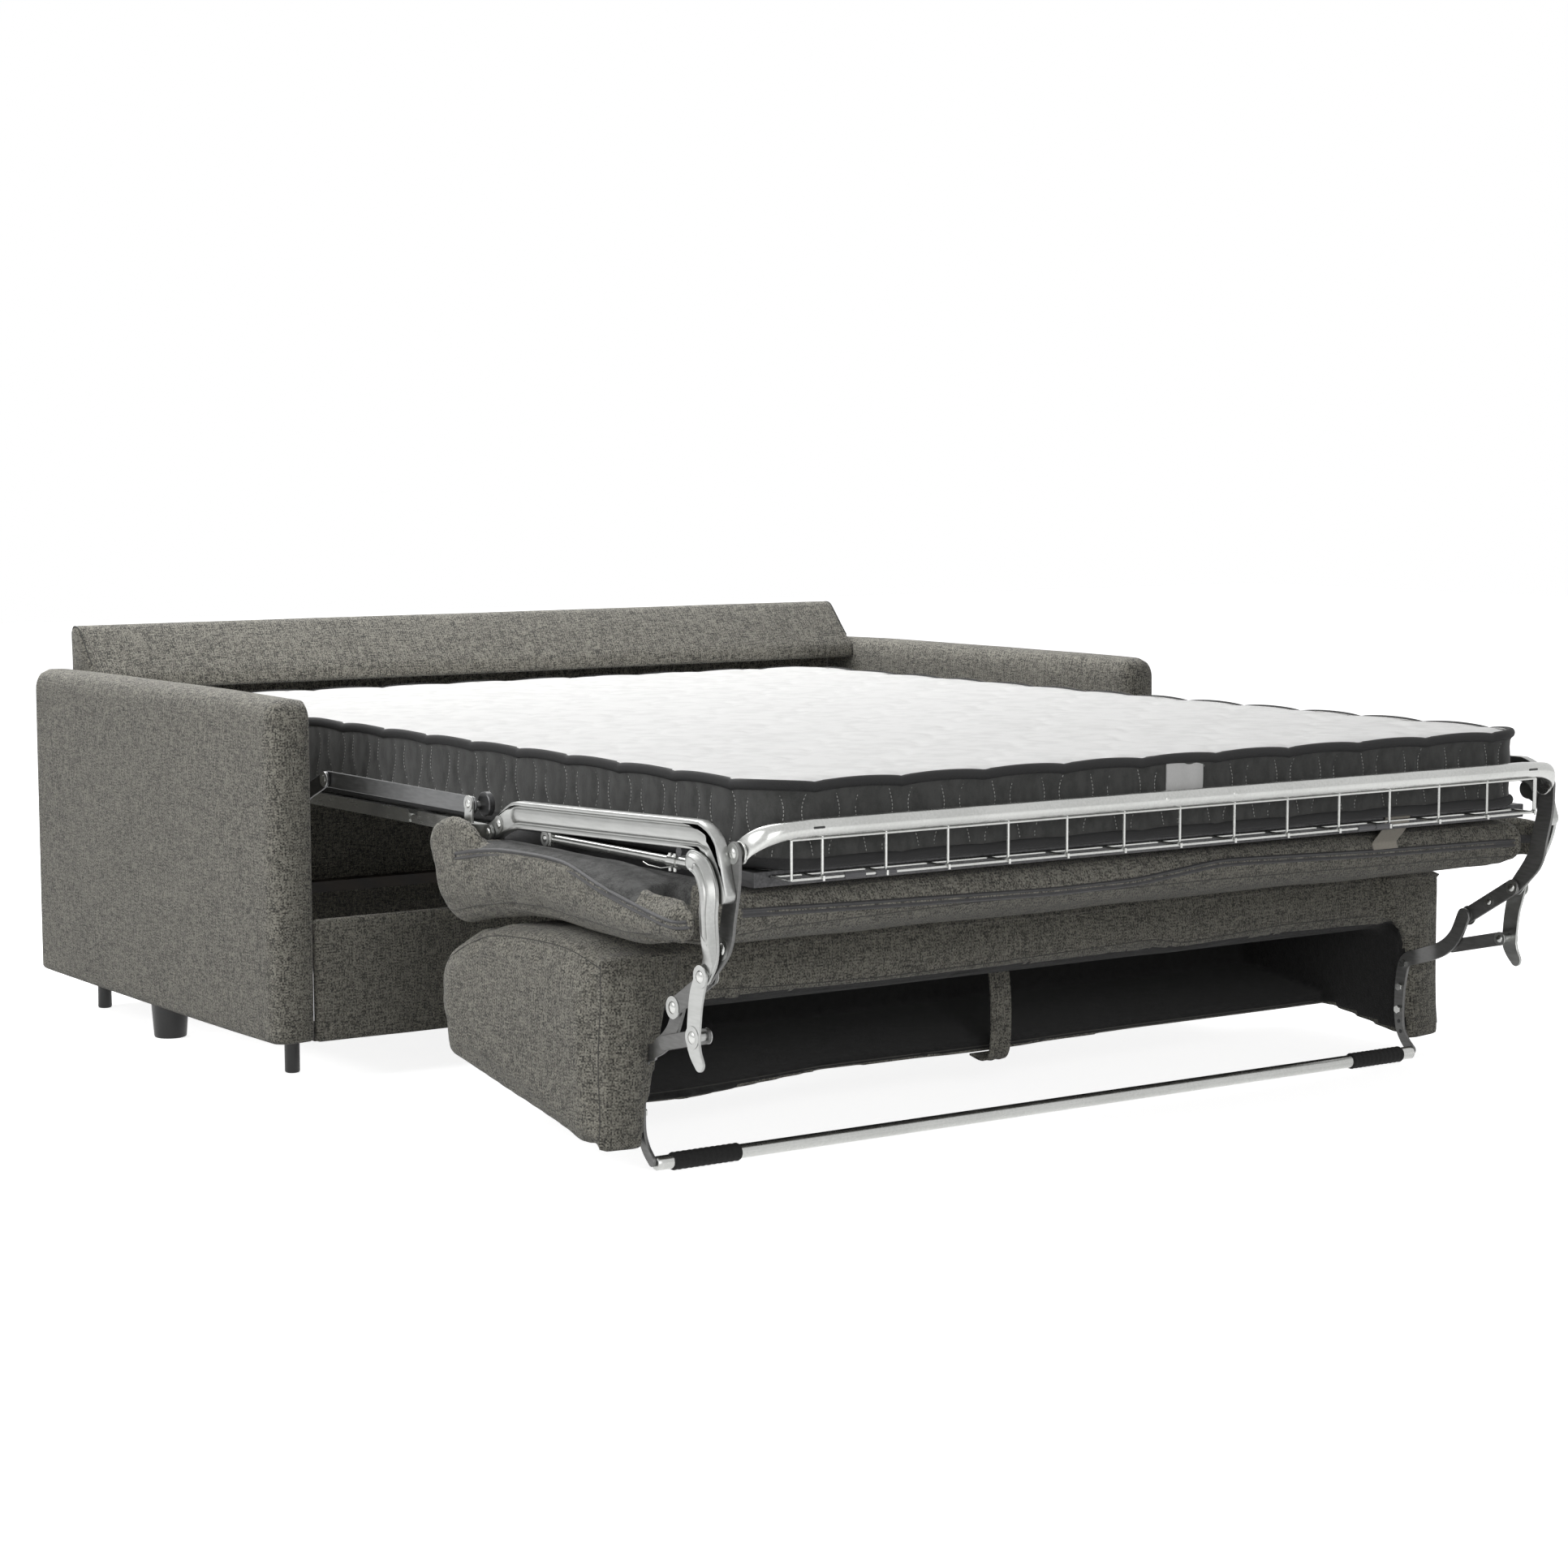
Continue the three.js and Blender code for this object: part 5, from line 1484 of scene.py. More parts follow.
# The line where rays from a row of points meet a piece, with the way that it faces.
def seamLine(surface, starts, away, lift=0.0):
    line = []
    for start in starts:
        hit = surface.meet(start, -Vector(away), lift)
        if hit is not None:
            line.append((hit, Vector(away)))
    return line


def makeSeams(name, lines, body, radius=0.0009):
    seams = Shape()
    for line in lines:
        if len(line) > 3:
            seams.join(layStrip(line, seamSection * radius))
    seams.fit(name, "greyThread", body, "melange_fabric")


def makeSeatSeams(cover):
    surface = Surface(cover)
    lines = []
    for sign in (-1, 1):
        side = [(place, between(seat["endLow"], place) + 0.019) for place in np.linspace(1.32, 1.9, 90)]
        corner = [(1.905 + 0.028 * share, 0.334 + 0.038 * share) for share in np.linspace(0, 1, 12)]
        for path in (side, corner):
            lines.append(seamLine(surface, [spot(sign * 0.9, *point) for point in path], (sign, 0, 0)))
    front = [spot(x, 2.1, between(seat["frontLow"], x) + 0.012) for x in np.linspace(-0.725, 0.725, 180)]
    lines.append(seamLine(surface, front, (0, -1, 0)))
    makeSeams("seatSeams", lines, "foot_section")


# Two height fields over one plan, joined round the rim.
def gridShell(grid, x, place, heights):
    columns, lines = x.shape
    rim = set(grid.rim)
    made = Shape()
    ids = []
    for level, height in enumerate(heights):
        layer = {}
        for column in range(columns):
            for line in range(lines):
                if level and (column, line) in rim:
                    layer[column, line] = ids[0][column, line]
                    continue
                layer[column, line] = len(made.points)
                made.points.append((x[column, line], row(place[column, line]), height[column, line]))
        ids.append(layer)
    for level, layer in enumerate(ids):
        for column in range(columns - 1):
            for line in range(lines - 1):
                face = [layer[column, line], layer[column + 1, line], layer[column + 1, line + 1],
                        layer[column, line + 1]]
                made.faces.append(tuple(face[::-1] if level else face))
                made.maps.append([(0, 0)] * 4)
    return made


# The corner of the cover that curls up beside the crank link.
def curlShell(sign):
    form = seat
    outline = np.array(smoothPath(form["curl"] + form["curl"][:1], 6)[:-1])
    centre = outline.mean(axis=0)
    rings = []
    for x in easedStations(form["curlInner"], form["half"] - 0.001, 12):
        near = min(x - form["curlInner"], form["half"] - 0.001 - x)
        drawn = softEnd(near, 0.009) * 0.009
        ring = centre + (outline - centre) * (1 - drawn / 0.05)
        rings.append([(sign * x, row(place), height) for place, height in ring])
    return Shape().loft(rings)


def seatCloth(centre, normal):
    place = rearFace - centre.y
    x = abs(centre.x)
    if place < 1.345 or (x > seat["curlInner"] - 0.004 and place < 1.44):
        return 0
    edge = seat["lipPlace"] - 0.04 * float(easeStep(0.7, 0.8, x))
    above = centre.z > float(rimHeight(centre.x, place)) + 0.001 and normal.z > -0.2
    return 1 if above and place < edge else 0


def seatCap(points):
    x, place, height = np.abs(points[:, 0]), rearFace - points[:, 1], points[:, 2]
    cap = np.full(len(points), 0.006)
    cap = np.where(height > 0.398, 0.0015, cap)
    cap = np.where(height < 0.34, 0.003, cap)
    slot = (x > seat["slotInner"] - 0.02) & (x < seat["slotOuter"] + 0.02)
    slot = slot & (place > seat["slotPlace"] - 0.02)
    return np.where(slot, 0.0005, cap)


# The backrest cover: a deep hood of woven cloth with padded wings, hollow inside, with its felt lining
# painted near black as the shade in the hollow.
hood = {
    "half": 0.80,
    "voxel": 0.007,
    "section": [(1.314, 0.100), (1.31, 0.175), (1.313, 0.222), (1.333, 0.254), (1.391, 0.286), (1.47, 0.308),
                (1.602, 0.316), (1.69, 0.312), (1.742, 0.294)],
    "ceiling": 0.206,
    "rearInner": 1.37,
    "flapFront": 1.747,
    "flapBack": 1.722,
    "flapLow": [(-0.80, 0.232), (-0.627, 0.226), (-0.506, 0.219), (-0.31, 0.215), (-0.09, 0.218),
                (0.191, 0.225), (0.253, 0.214), (0.46, 0.225), (0.644, 0.223), (0.80, 0.23)],
    "floorFront": [(-0.7, 1.6), (-0.56, 1.612), (-0.3, 1.571), (0.0, 1.58), (0.3, 1.571), (0.7, 1.573)],
    "floorThick": 0.014,
    "bottom": [(1.31, 0.102), (1.738, 0.036)],
    "wingRear": (1.325, 0.104),
    "wingFront": [(1.737, 0.295), (1.748, 0.2), (1.746, 0.1), (1.741, 0.045), (1.722, 0.034), (1.5, 0.070)],
    "wingMiddle": (1.54, 0.17),
    "wingDepth": 0.09,
    "wingInner": [(0.02, 0.727), (0.159, 0.703), (0.225, 0.69), (0.289, 0.667), (0.33, 0.66)],
    "wingRound": 0.02,
    "creases": 0.0016,
    "bandPlaces": ((1.738, 0.004), (1.741, 0.0015), (1.746, 0), (1.753, 0), (1.7565, 0.0015), (1.758, 0.004)),
    "bandLow": 0.03,
    "bandTop": 0.3,
    "bandStep": (0.19, 0.235),
    "borderFoot": 0.7245,
    "seamPlace": 1.7435,
}


def makeHood():
    shapes = [hoodSection()]
    for sign in (-1, 1):
        shapes += [wingShell(sign), borderShell(sign)]
    cover = sewnShell("backrestHood", shapes, hood["voxel"], hoodCloth, ("melange", "paintedShadeFelt"), 3.0, hoodCap)
    follow(cover, "backrest", "melange_fabric", "backrest_cover")
    makeHoodSeams(cover)
    makeTie()


# The band that closes the front of each wing, wider at the top than at the foot.
def borderShell(sign):
    form = hood
    low, top, foot = form["bandLow"], form["bandTop"], form["borderFoot"]
    rings = []
    for place, drawn in form["bandPlaces"]:
        ring = [(form["half"] - 0.009 - drawn, height) for height in np.linspace(low, top, 40)]
        for height in np.linspace(top, low, 40):
            inner = between(form["wingInner"], height)
            if sign > 0:
                inner = foot + (inner - foot) * easeStep(*form["bandStep"], height)
            ring.append((inner + drawn, height))
        rings.append([(sign * x, row(place), np.clip(height, low + drawn, top - drawn))
                      for x, height in ring])
    return Shape().loft(rings)


def makeHoodSeams(cover):
    form = hood
    surface = Surface(cover)
    lines = []
    for sign in (-1, 1):
        front = [(form["seamPlace"] + 0.002 * math.sin(height * 30), height)
                 for height in np.linspace(0.05, 0.298, 60)]
        top = [(place + 0.004, height - 0.012) for place, height in smoothPath(form["section"][1:], 10)]
        for path in (front, top):
            lines.append(seamLine(surface, [spot(sign * 0.9, *point) for point in path], (sign, 0, 0)))
    floor = between(form["bottom"], 1.58) + 0.0105
    flap = [spot(x, 1.9, between(form["flapLow"], x) + 0.0125) for x in np.linspace(-0.66, 0.66, 170)]
    for starts in (flap, [spot(x, 1.9, floor) for x in np.linspace(-0.69, 0.69, 150)]):
        lines.append(seamLine(surface, starts, (0, -1, 0)))
    makeSeams("hoodSeams", lines, "backrest")


# The strap that gathers the cover round the front of its floor.
tie = {"middle": 0.0, "half": 0.019, "thickness": 0.003,
       "path": [(1.604, 0.205), (1.612, 0.15), (1.612, 0.09), (1.606, 0.062), (1.59, 0.0525), (1.56, 0.057)]}


def makeTie():
    path = smoothPath(tie["path"], 8)
    line = []
    for index, (place, height) in enumerate(path):
        near = path[min(index + 1, len(path) - 1)] - path[max(index - 1, 0)]
        line.append((spot(tie["middle"], place, height), Vector((0, near[1], near[0])).normalized()))
    half, thick = tie["half"], tie["thickness"] / 2
    section = np.array([(-half, -thick), (-half, thick), (-half * 0.6, thick * 1.6),
                        (-half * 0.2, thick * 0.6), (half * 0.2, thick * 1.7), (half * 0.6, thick * 0.8),
                        (half, thick), (half, -thick), (0, -thick)])
    made = layStrip(line, section).fit("hoodTie", "melange", "backrest", "melange_fabric", smooth=60)
    mapByFacing(made)
    length = sum(float(np.linalg.norm(end - start)) for start, end in zip(path, path[1:]))


# The part between the wings, in section: rear wall, padded top with its flap, and floor.
def hoodSection():
    form = hood
    flapFront, rearInner, ceiling = form["flapFront"], form["rearInner"], form["ceiling"]
    rings = []
    for x in np.linspace(-form["half"] + 0.03, form["half"] - 0.03, 140):
        flapLow = between(form["flapLow"], x)
        floorFront = between(form["floorFront"], x)
        under = [(place, between(form["bottom"], place)) for place in (floorFront, 1.34)]
        outer = form["section"] + [(flapFront, 0.262), (flapFront, flapLow + 0.008)]
        inner = [(flapFront - 0.008, flapLow), (form["flapBack"], flapLow),
                 (form["flapBack"] - 0.03, ceiling), (rearInner, ceiling)]
        for place in (rearInner, floorFront):
            inner.append((place, between(form["bottom"], place) + form["floorThick"]))
        loop = closedRound(outer + inner + under, 0.008, 3, 6)
        crown = 0.003 * np.cos(x / form["half"] * math.pi / 2) + form["creases"] * waver(x, loop[:, 0], 0.12)
        lift = np.where(loop[:, 1] > 0.25, crown, 0)
        front = (loop[:, 0] > 1.735) & (loop[:, 1] < 0.3)
        push = np.where(front, form["creases"] * waver(x, loop[:, 1], 0.1), 0)
        rings.append([(x, row(place + out), height + extra)
                      for (place, height), extra, out in zip(loop, lift, push)])
    return Shape().loft(rings)


def wingShell(sign):
    form = hood
    outline = closedRound([form["wingRear"], *form["section"][1:-1], *form["wingFront"]], 0.012, 4, 8)
    away = outline - np.array(form["wingMiddle"])
    full = 0.0035 * np.clip(1 - (np.linalg.norm(away / (0.24, 0.15), axis=1)), 0, 1)
    rings = []
    for share in [easeEnds(step / 23) for step in range(24)]:
        drawn = softEnd(share * form["wingDepth"], form["wingRound"]) * form["wingRound"]
        ring = outline - unitRows(away) * drawn
        xs = form["half"] + (form["borderFoot"] - form["half"]) * share + (full if share == 0 else full * 0)
        rings.append([(sign * x, row(place), height) for x, (place, height) in zip(xs, ring)])
    return Shape().loft(rings)


# Faces inside the hollow take the felt painted dark as shade; all others take the weave.
def hoodCloth(centre, normal):
    place = rearFace - centre.y
    x = abs(centre.x)
    inside = hood["rearInner"] - 0.012 < place < 1.741 and x < hood["borderFoot"] + 0.006 and centre.z < 0.222
    floorTop = float(between(hood["bottom"], place)) + hood["floorThick"] * 0.4
    return 1 if inside and centre.z > floorTop else 0


def hoodCap(points):
    x, place, height = np.abs(points[:, 0]), rearFace - points[:, 1], points[:, 2]
    cap = np.full(len(points), 0.006)
    cap = np.where(height > 0.29, 0.0015, cap)
    inside = (x < 0.73) & (place > 1.36) & (place < 1.73) & (height < 0.22)
    return np.where(inside, 0.002, cap)


# The folding mechanism's shared pivots, as place and height.
pivots = {
    "crank": (1.377, 0.471),
    "crankRivet": (1.377, 0.4735),
    "railEnd": (2.011, 0.462),
    "hang": (1.9492, 0.2964),
    "linkLow": (1.9295, 0.214),
    "wing": (1.857, 0.242),
    "barRear": (0.921, 0.472),
    "control": (0.837, 0.428),
    "controlLow": (0.792, 0.2383),
}

# Each plate is a strip along a path of [place, height], drawn on both sides of the sofa.
# A size is the half width, the x of the inner face and the thickness.
steel = {
    "armInner": 0.7513,
    "armOuter": 0.7673,
    "armHalf": 0.0195,
    "armPath": [(1.418, 0.437), (1.436, 0.446), (1.456, 0.456), (1.482, 0.4645), (1.52, 0.4665),
                (1.72, 0.473), (1.93, 0.4803), (1.958, 0.4795), (1.979, 0.4705), (1.9915, 0.452),
                (2.0, 0.428), (2.007, 0.409)],
    "armWidths": [(0, 0.66), (0.03, 0.68), (0.1, 1.0), (0.84, 1.0), (0.9, 0.86), (0.95, 0.68), (1, 0.62)],
    "armRear": 0.075,
    "armFront": 0.085,
    "crankPath": [pivots["crankRivet"], (1.375, 0.446), (1.3835, 0.4365), (1.418, 0.436)],
    "crank": (0.0105, 0.7676, 0.0045),
    "crankStep": 0.0096,
    "leverPath": [(1.949, 0.448), (1.962, 0.446), (1.979, 0.436), (1.9905, 0.412), (1.9885, 0.385),
                  (1.98, 0.35), (1.968, 0.322), pivots["hang"]],
    "leverWidths": [(0, 1.0), (0.3, 1.18), (0.5, 1.06), (1, 0.86)],
    "leverHalf": 0.0145,
    "lever": (0.7519, 0.7558),
    "leverRise": 0.0105,
    "leverStep": 0.0175,
    "linkPath": [pivots["hang"], (1.9365, 0.262), (1.9305, 0.214), (1.934, 0.196), (1.944, 0.181)],
    "linkWidths": [(0, 0.92), (0.2, 1.05), (0.8, 1.0), (1, 0.72)],
    "link": (0.0145, 0.7572, 0.0042),
    "bracketPath": [pivots["wing"], (1.84, 0.208), (1.815, 0.186), (1.778, 0.17), (1.748, 0.158),
                    (1.7385, 0.13), (1.735, 0.09), (1.737, 0.052), (1.748, 0.03), (1.763, 0.016)],
    "bracketWidths": [(0, 1.0), (0.35, 0.95), (0.6, 0.88), (1, 0.62)],
    "bracket": (0.0125, 0.7164, 0.005),
    "bracketStep": 0.0148,
    "tubeX": 0.732,
    "tubeRadius": 0.0065,
    "tubeRear": 1.52,
    "tubeFront": 1.9,
    "tubeHeight": 0.434,
    "collarPlace": 1.85,
}

# The plates that lie flat along the whole of their path.
evenWidths = [(0, 1), (1, 1)]
barPlates = {
    "slimBar": {
        "path": [pivots["barRear"], pivots["crank"]],
        "size": (0.0125, 0.7729, 0.004),
        "finish": "barSteel",
        "body": "flat_bars",
        "slot": "satin_steel",
        "solid": "flat_bar",
    },
    "bentLever": {
        "path": [pivots["controlLow"], (0.812, 0.333), pivots["control"], pivots["barRear"]],
        "size": (0.012, 0.7772, 0.005),
        "finish": "darkSteel",
        "body": "control_levers",
        "slot": "dark_steel",
        "solid": "control_lever",
    },
    "hanger": {
        "path": [pivots["railEnd"], (2.0085, 0.423), (1.9985, 0.38), (1.988, 0.342), pivots["hang"]],
        "size": (0.0152, 0.7462, 0.0046),
        "widths": [(0, 1.0), (0.7, 1.06), (1, 0.74)],
        "finish": "brownedSteel",
        "body": "foot_section",
        "slot": "satin_steel",
        "solid": "drop_plate",
    },
    "upperLink": {
        "path": [pivots["hang"], pivots["wing"]],
        "size": (0.0125, 0.7405, 0.0042),
        "finish": "brownedSteel",
        "body": "backrest_links",
        "slot": "dark_steel",
    },
    "lowerLink": {
        "path": [pivots["linkLow"], (1.828, 0.19)],
        "size": (0.0105, 0.7375, 0.0042),
        "finish": "brownedSteel",
        "body": "backrest_links",
        "slot": "dark_steel",
    },
}


def spacedPath(points, count=60, start=0.0, end=0.0):
    path = np.array(smoothPath(points, 12) if len(points) > 2 else points, float)
    gaps = np.concatenate([[0], np.cumsum(np.linalg.norm(np.diff(path, axis=0), axis=1))])
    marks = np.linspace(start, gaps[-1] - end, count)
    return np.stack([np.interp(marks, gaps, path[:, axis]) for axis in (0, 1)], axis=1), marks / gaps[-1]


# One ring of a plate whose width changes along its path. Trimmed rings make pressings that stop short.
def taperRing(points, half, widths, start=0.0, end=0.0):
    path, shares = spacedPath(points, 60, start, end)
    ahead = headings(path)
    across = np.stack([-ahead[:, 1], ahead[:, 0]], axis=1)
    wide = (half * between(widths, shares))[:, None]
    turns = [(math.cos(turn), math.sin(turn)) for turn in np.linspace(0, math.pi, 14)[1:-1]]
    ring = list(path + across * wide)
    ring += [path[-1] + wide[-1] * (across[-1] * cosine + ahead[-1] * sine) for cosine, sine in turns]
    ring += list((path - across * wide)[::-1])
    ring += [path[0] - wide[0] * (across[0] * cosine + ahead[0] * sine) for cosine, sine in turns]
    return ring


# A pressed plate: rings of (half width, x, trim at the start, trim at the end), from back to front.
def pressedPlate(points, widths, profile, sign, joggle=None):
    rings = []
    for half, x, start, end in profile:
        ring = taperRing(points, half, widths, start, end)
        shifts = [joggle(place, height) if joggle else 0.0 for place, height in ring]
        rings.append([(sign * (x + shift), row(place), height)
                      for shift, (place, height) in zip(shifts, ring)])
    plate = Shape().loft(rings, caps=False)
    for first in (0, len(plate.points) - 144):
        across = [(step, step + 1, 130 - step, 131 - step) for step in range(59)]
        for face in across + [range(59, 73), [*range(131, 144), 0]]:
            corners = [first + corner for corner in face]
            plate.faces.append(tuple(corners))
            plate.maps.append([plate.points[corner][1:] for corner in corners])
    return plate


def flatPlate(points, size, sign, widths=evenWidths, joggle=None):
    half, inner, thickness = size
    profile = [(depth, x, 0, 0) for depth, x in plateProfile(half, inner, thickness)]
    profile[0] = (half * 0.2, inner, 0, 0)
    profile[-1] = (half * 0.2, inner + thickness, 0, 0)
    return pressedPlate(points, widths, profile, sign, joggle)



def makeSideArm(side, sign):
    half, inner, outer = steel["armHalf"], steel["armInner"], steel["armOuter"]
    rear, front = steel["armRear"], steel["armFront"]
    plain = [(0.1, outer - 0.0035), (0.86, outer - 0.0035), (0.9, inner), (0.98, inner), (1, inner + 0.001),
             (1, outer - 0.005), (0.975, outer - 0.002), (0.93, outer - 0.0005), (0.86, outer)]
    pressed = [(0.74, 0, 0.6, 0.72), (0.68, -0.0008, 0.75, 0.8), (0.6, -0.0034, 0.85, 0.86),
               (0.54, -0.0034, 0.9, 0.88), (0.46, -0.0006, 1, 0.94), (0.38, 0.0006, 1.05, 1),
               (0.2, 0.001, 1.1, 1.05), (0.03, 0.001, 1.2, 1.1)]
    profile = [(half * wide, x, 0, 0) for wide, x in plain]
    profile += [(half * wide, outer + rise, rear * start, front * end) for wide, rise, start, end in pressed]
    arm = pressedPlate(steel["armPath"], steel["armWidths"], profile, sign)
    arm.fit(f"pressedArm_{side}", "satinSteel", "foot_section", "satin_steel", f"side_arm_{side}", smooth=35)


def makeLever(side, sign):
    half, rise, step = steel["leverHalf"], steel["leverRise"], steel["leverStep"]
    inner, low = steel["lever"]
    plain = [(0.1, inner), (0.95, inner), (1, inner + 0.0006), (1, low - 0.0006), (0.97, low)]
    pressed = [(0.84, 0.0004 / rise, 0.002, 0.004), (0.78, 0.25, 0.004, 0.03), (0.68, 0.72, 0.006, 0.045),
               (0.58, 0.92, 0.009, 0.055), (0.48, 0.96, 0.014, 0.06), (0.4, 0.82, 0.018, 0.062),
               (0.34, 0.82, 0.021, 0.064), (0.26, 1.12, 0.024, 0.068), (0.05, 1.2, 0.028, 0.072)]
    profile = [(half * wide, x, 0, 0) for wide, x in plain]
    profile += [(half * wide, low + rise * share, start, end) for wide, share, start, end in pressed]
    lever = pressedPlate(steel["leverPath"], steel["leverWidths"], profile, sign,
                         lambda place, height: step * float(easeStep(0.3, 0.395, height)))
    lever.fit(f"pressedLever_{side}", "satinSteel", "foot_section", "satin_steel", smooth=35)


def makeCrank(side, sign):
    step = steel["crankStep"]
    crank = flatPlate(steel["crankPath"], steel["crank"], sign,
                      joggle=lambda place, height: step * (1 - float(easeStep(1.388, 1.41, place))))
    crank.disc(0.7645, *pivots["crank"], [(0.001, 0), (0.0055, 0), (0.0055, 0.0115), (0.001, 0.0115)], sign)
    crank.fit(f"crankPlate_{side}", "satinSteel", "foot_section", "satin_steel", f"crank_link_{side}",
              smooth=35)
    wheel = [(0.004, 0), (0.0165, 0), (0.018, 0.0012), (0.018, 0.0088), (0.0165, 0.01), (0.004, 0.01)]
    roller = Shape().disc(0.7545, 1.39, 0.4725, wheel, sign)
    roller.fit(f"crankRoller_{side}", "darkSteel", "foot_section", "dark_steel", smooth=35)


def makeOuterLink(side, sign):
    link = flatPlate(steel["linkPath"], steel["link"], sign, steel["linkWidths"])
    link.disc(0.7415, *pivots["linkLow"], [(0.001, 0), (0.0065, 0), (0.0065, 0.016), (0.001, 0.016)], sign)
    link.fit(f"outerLink_{side}", "satinSteel", "backrest_links", "satin_steel", f"backrest_link_{side}",
             smooth=35)


def makeBarPlates(side, sign):
    for name, form in barPlates.items():
        plate = flatPlate(form["path"], form["size"], sign, form.get("widths", evenWidths))
        solids = [f"{form['solid']}_{side}"] if "solid" in form else []
        plate.fit(f"{name}_{side}", form["finish"], form["body"], form["slot"], *solids, smooth=35)


bolts = {
    "places": [(1.7455, 0.154), (1.7375, 0.115), (1.735, 0.078)],
    "head": 0.0065,
    "height": 0.0044,
    "holes": [(1.7365, 0.059), (1.7405, 0.043)],
    "hole": 0.0032,
    "holeDepth": 0.0006,
}


# The bolted plate on each wing, stepped out at the top to meet the link, and turned under to the floor tube.
def makeBracket(side, sign):
    step = steel["bracketStep"]
    plate = flatPlate(steel["bracketPath"], steel["bracket"], sign, steel["bracketWidths"],
                      lambda place, height: step * float(easeStep(1.768, 1.803, place)))
    plate.fit(f"wingBracket_{side}", "brownedSteel", "backrest", "dark_steel", f"backrest_bracket_{side}",
              smooth=35)
    inner = steel["bracket"][1]
    spots = [spot(sign * (inner - 0.0022), *point) for point in bolts["places"]]
    heads = repeatOnPoints(f"wingBolts_{side}", spots, [(0, math.pi / 2, 0)] * len(spots), None, "hexagon",
                           {"Radius": bolts["head"], "Length": bolts["height"]}, "brightSteel")
    follow(heads, "backrest", "bright_steel")
    # The holes are thin black discs on the plate: painted shade for the dark of each hole.
    spots = [spot(sign * (inner - 0.0001), *point) for point in bolts["holes"]]
    holes = repeatOnPoints(f"bracketHoles_{side}", spots, [(0, math.pi / 2, 0)] * len(spots), None, "washer",
                           {"Radius": bolts["hole"], "Length": bolts["holeDepth"]}, "plastic")
    follow(holes, "backrest", "black_plastic")


def makeTieTube(side, sign):
    x, height, radius = steel["tubeX"], steel["tubeHeight"], steel["tubeRadius"]
    rear, front, collar = steel["tubeRear"], steel["tubeFront"], steel["collarPlace"]
    rod = Shape()
    for places, wide in ((np.linspace(rear + 0.012, collar, 30), 1),
                         ((collar, front - 0.004, front), 1.25),
                         ((collar - 0.014, collar - 0.013, collar + 0.006, collar + 0.007), 1.5)):
        rod.tube([spot(sign * x, place, height) for place in places], radius * wide, 24)
    for lift in (-0.006, 0.006):
        pin = [spot(sign * (x + 0.004), collar - 0.004 + lift, height + step)
               for step in np.linspace(-0.0125, 0.0115, 5)]
        rod.tube(pin, 0.0028, 12)
    square = ((-0.0075, -0.009), (0.0075, -0.009), (0.0075, 0.009), (-0.0075, 0.009))
    rod.loft([[(sign * (x + wide), row(place), height + tall) for wide, tall in square]
              for place in (rear - 0.009, rear + 0.016)])
    rod.fit(f"tieRod_{side}", "brightSteel", "foot_section", "bright_steel", f"tie_tube_{side}", smooth=40)
    bends = ((0.009, 1.85, 0.428), (0.012, 1.83, 0.4245), (0.013, 1.80, 0.4255), (0.012, 1.785, 0.4285))
    wire = Shape().tube([spot(sign * (x + out), place, high) for out, place, high in bends], 0.0008, 8)
    wire.fit(f"springWire_{side}", "brightSteel", "foot_section", "bright_steel")


# Rivet heads of each body: the x of the face they stand on, their radius and their place and height.
rivets = {
    "foot_section": [(0.7726, 0.0062, 1.418, 0.436), (0.7675, 0.0068, 1.439, 0.449),
                     (0.7818, 0.0068, *pivots["crankRivet"]), (0.7818, 0.0036, 1.376, 0.4425),
                     (0.7508, 0.0078, *pivots["railEnd"]), (0.7508, 0.0085, 1.9835, 0.336),
                     (0.7395, 0.006, 1.52, 0.434)],
    "control_levers": [(0.7822, 0.0068, *pivots["barRear"]), (0.7822, 0.0068, *pivots["control"]),
                       (0.7822, 0.007, *pivots["controlLow"])],
    "backrest_links": [(0.7614, 0.0088, *pivots["hang"]), (0.7614, 0.0088, *pivots["linkLow"]),
                       (0.7448, 0.0088, *pivots["wing"]), (0.7403, 0.0066, *pivots["hang"]),
                       (0.7403, 0.0052, 1.903, 0.269), (0.7403, 0.006, *pivots["wing"]),
                       (0.7373, 0.0062, *pivots["linkLow"]), (0.7373, 0.0052, 1.831, 0.1905)],
}


def makeRivets(side, sign):
    for part, heads in rivets.items():
        spots = [spot(sign * x, place, height) for x, radius, place, height in heads]
        radii = [radius for x, radius, place, height in heads]
        domes = [(radius * 0.42, radius, radius) for radius in radii]
        made = repeatOnPoints(f"rivets_{part}_{side}", spots, None, domes, "rivet", {"Radius": 1.0},
                              "brightSteel")
        follow(made, part, "bright_steel")
        rims = [(radius * 1.75, radius * 1.75, 0.0016) for radius in radii]
        turned = [(0, math.pi / 2, 0)] * len(heads)
        made = repeatOnPoints(f"washers_{part}_{side}", spots, turned, rims, "washer",
                              {"Radius": 1.0, "Length": 1.0}, "satinSteel")
        follow(made, part, "satin_steel")


def makeMechanism():
    for side, sign in bothSides:
        makeSideArm(side, sign)
        makeCrank(side, sign)
        makeBarPlates(side, sign)
        makeLever(side, sign)
        makeOuterLink(side, sign)
        makeBracket(side, sign)
        makeTieTube(side, sign)
        makeRivets(side, sign)


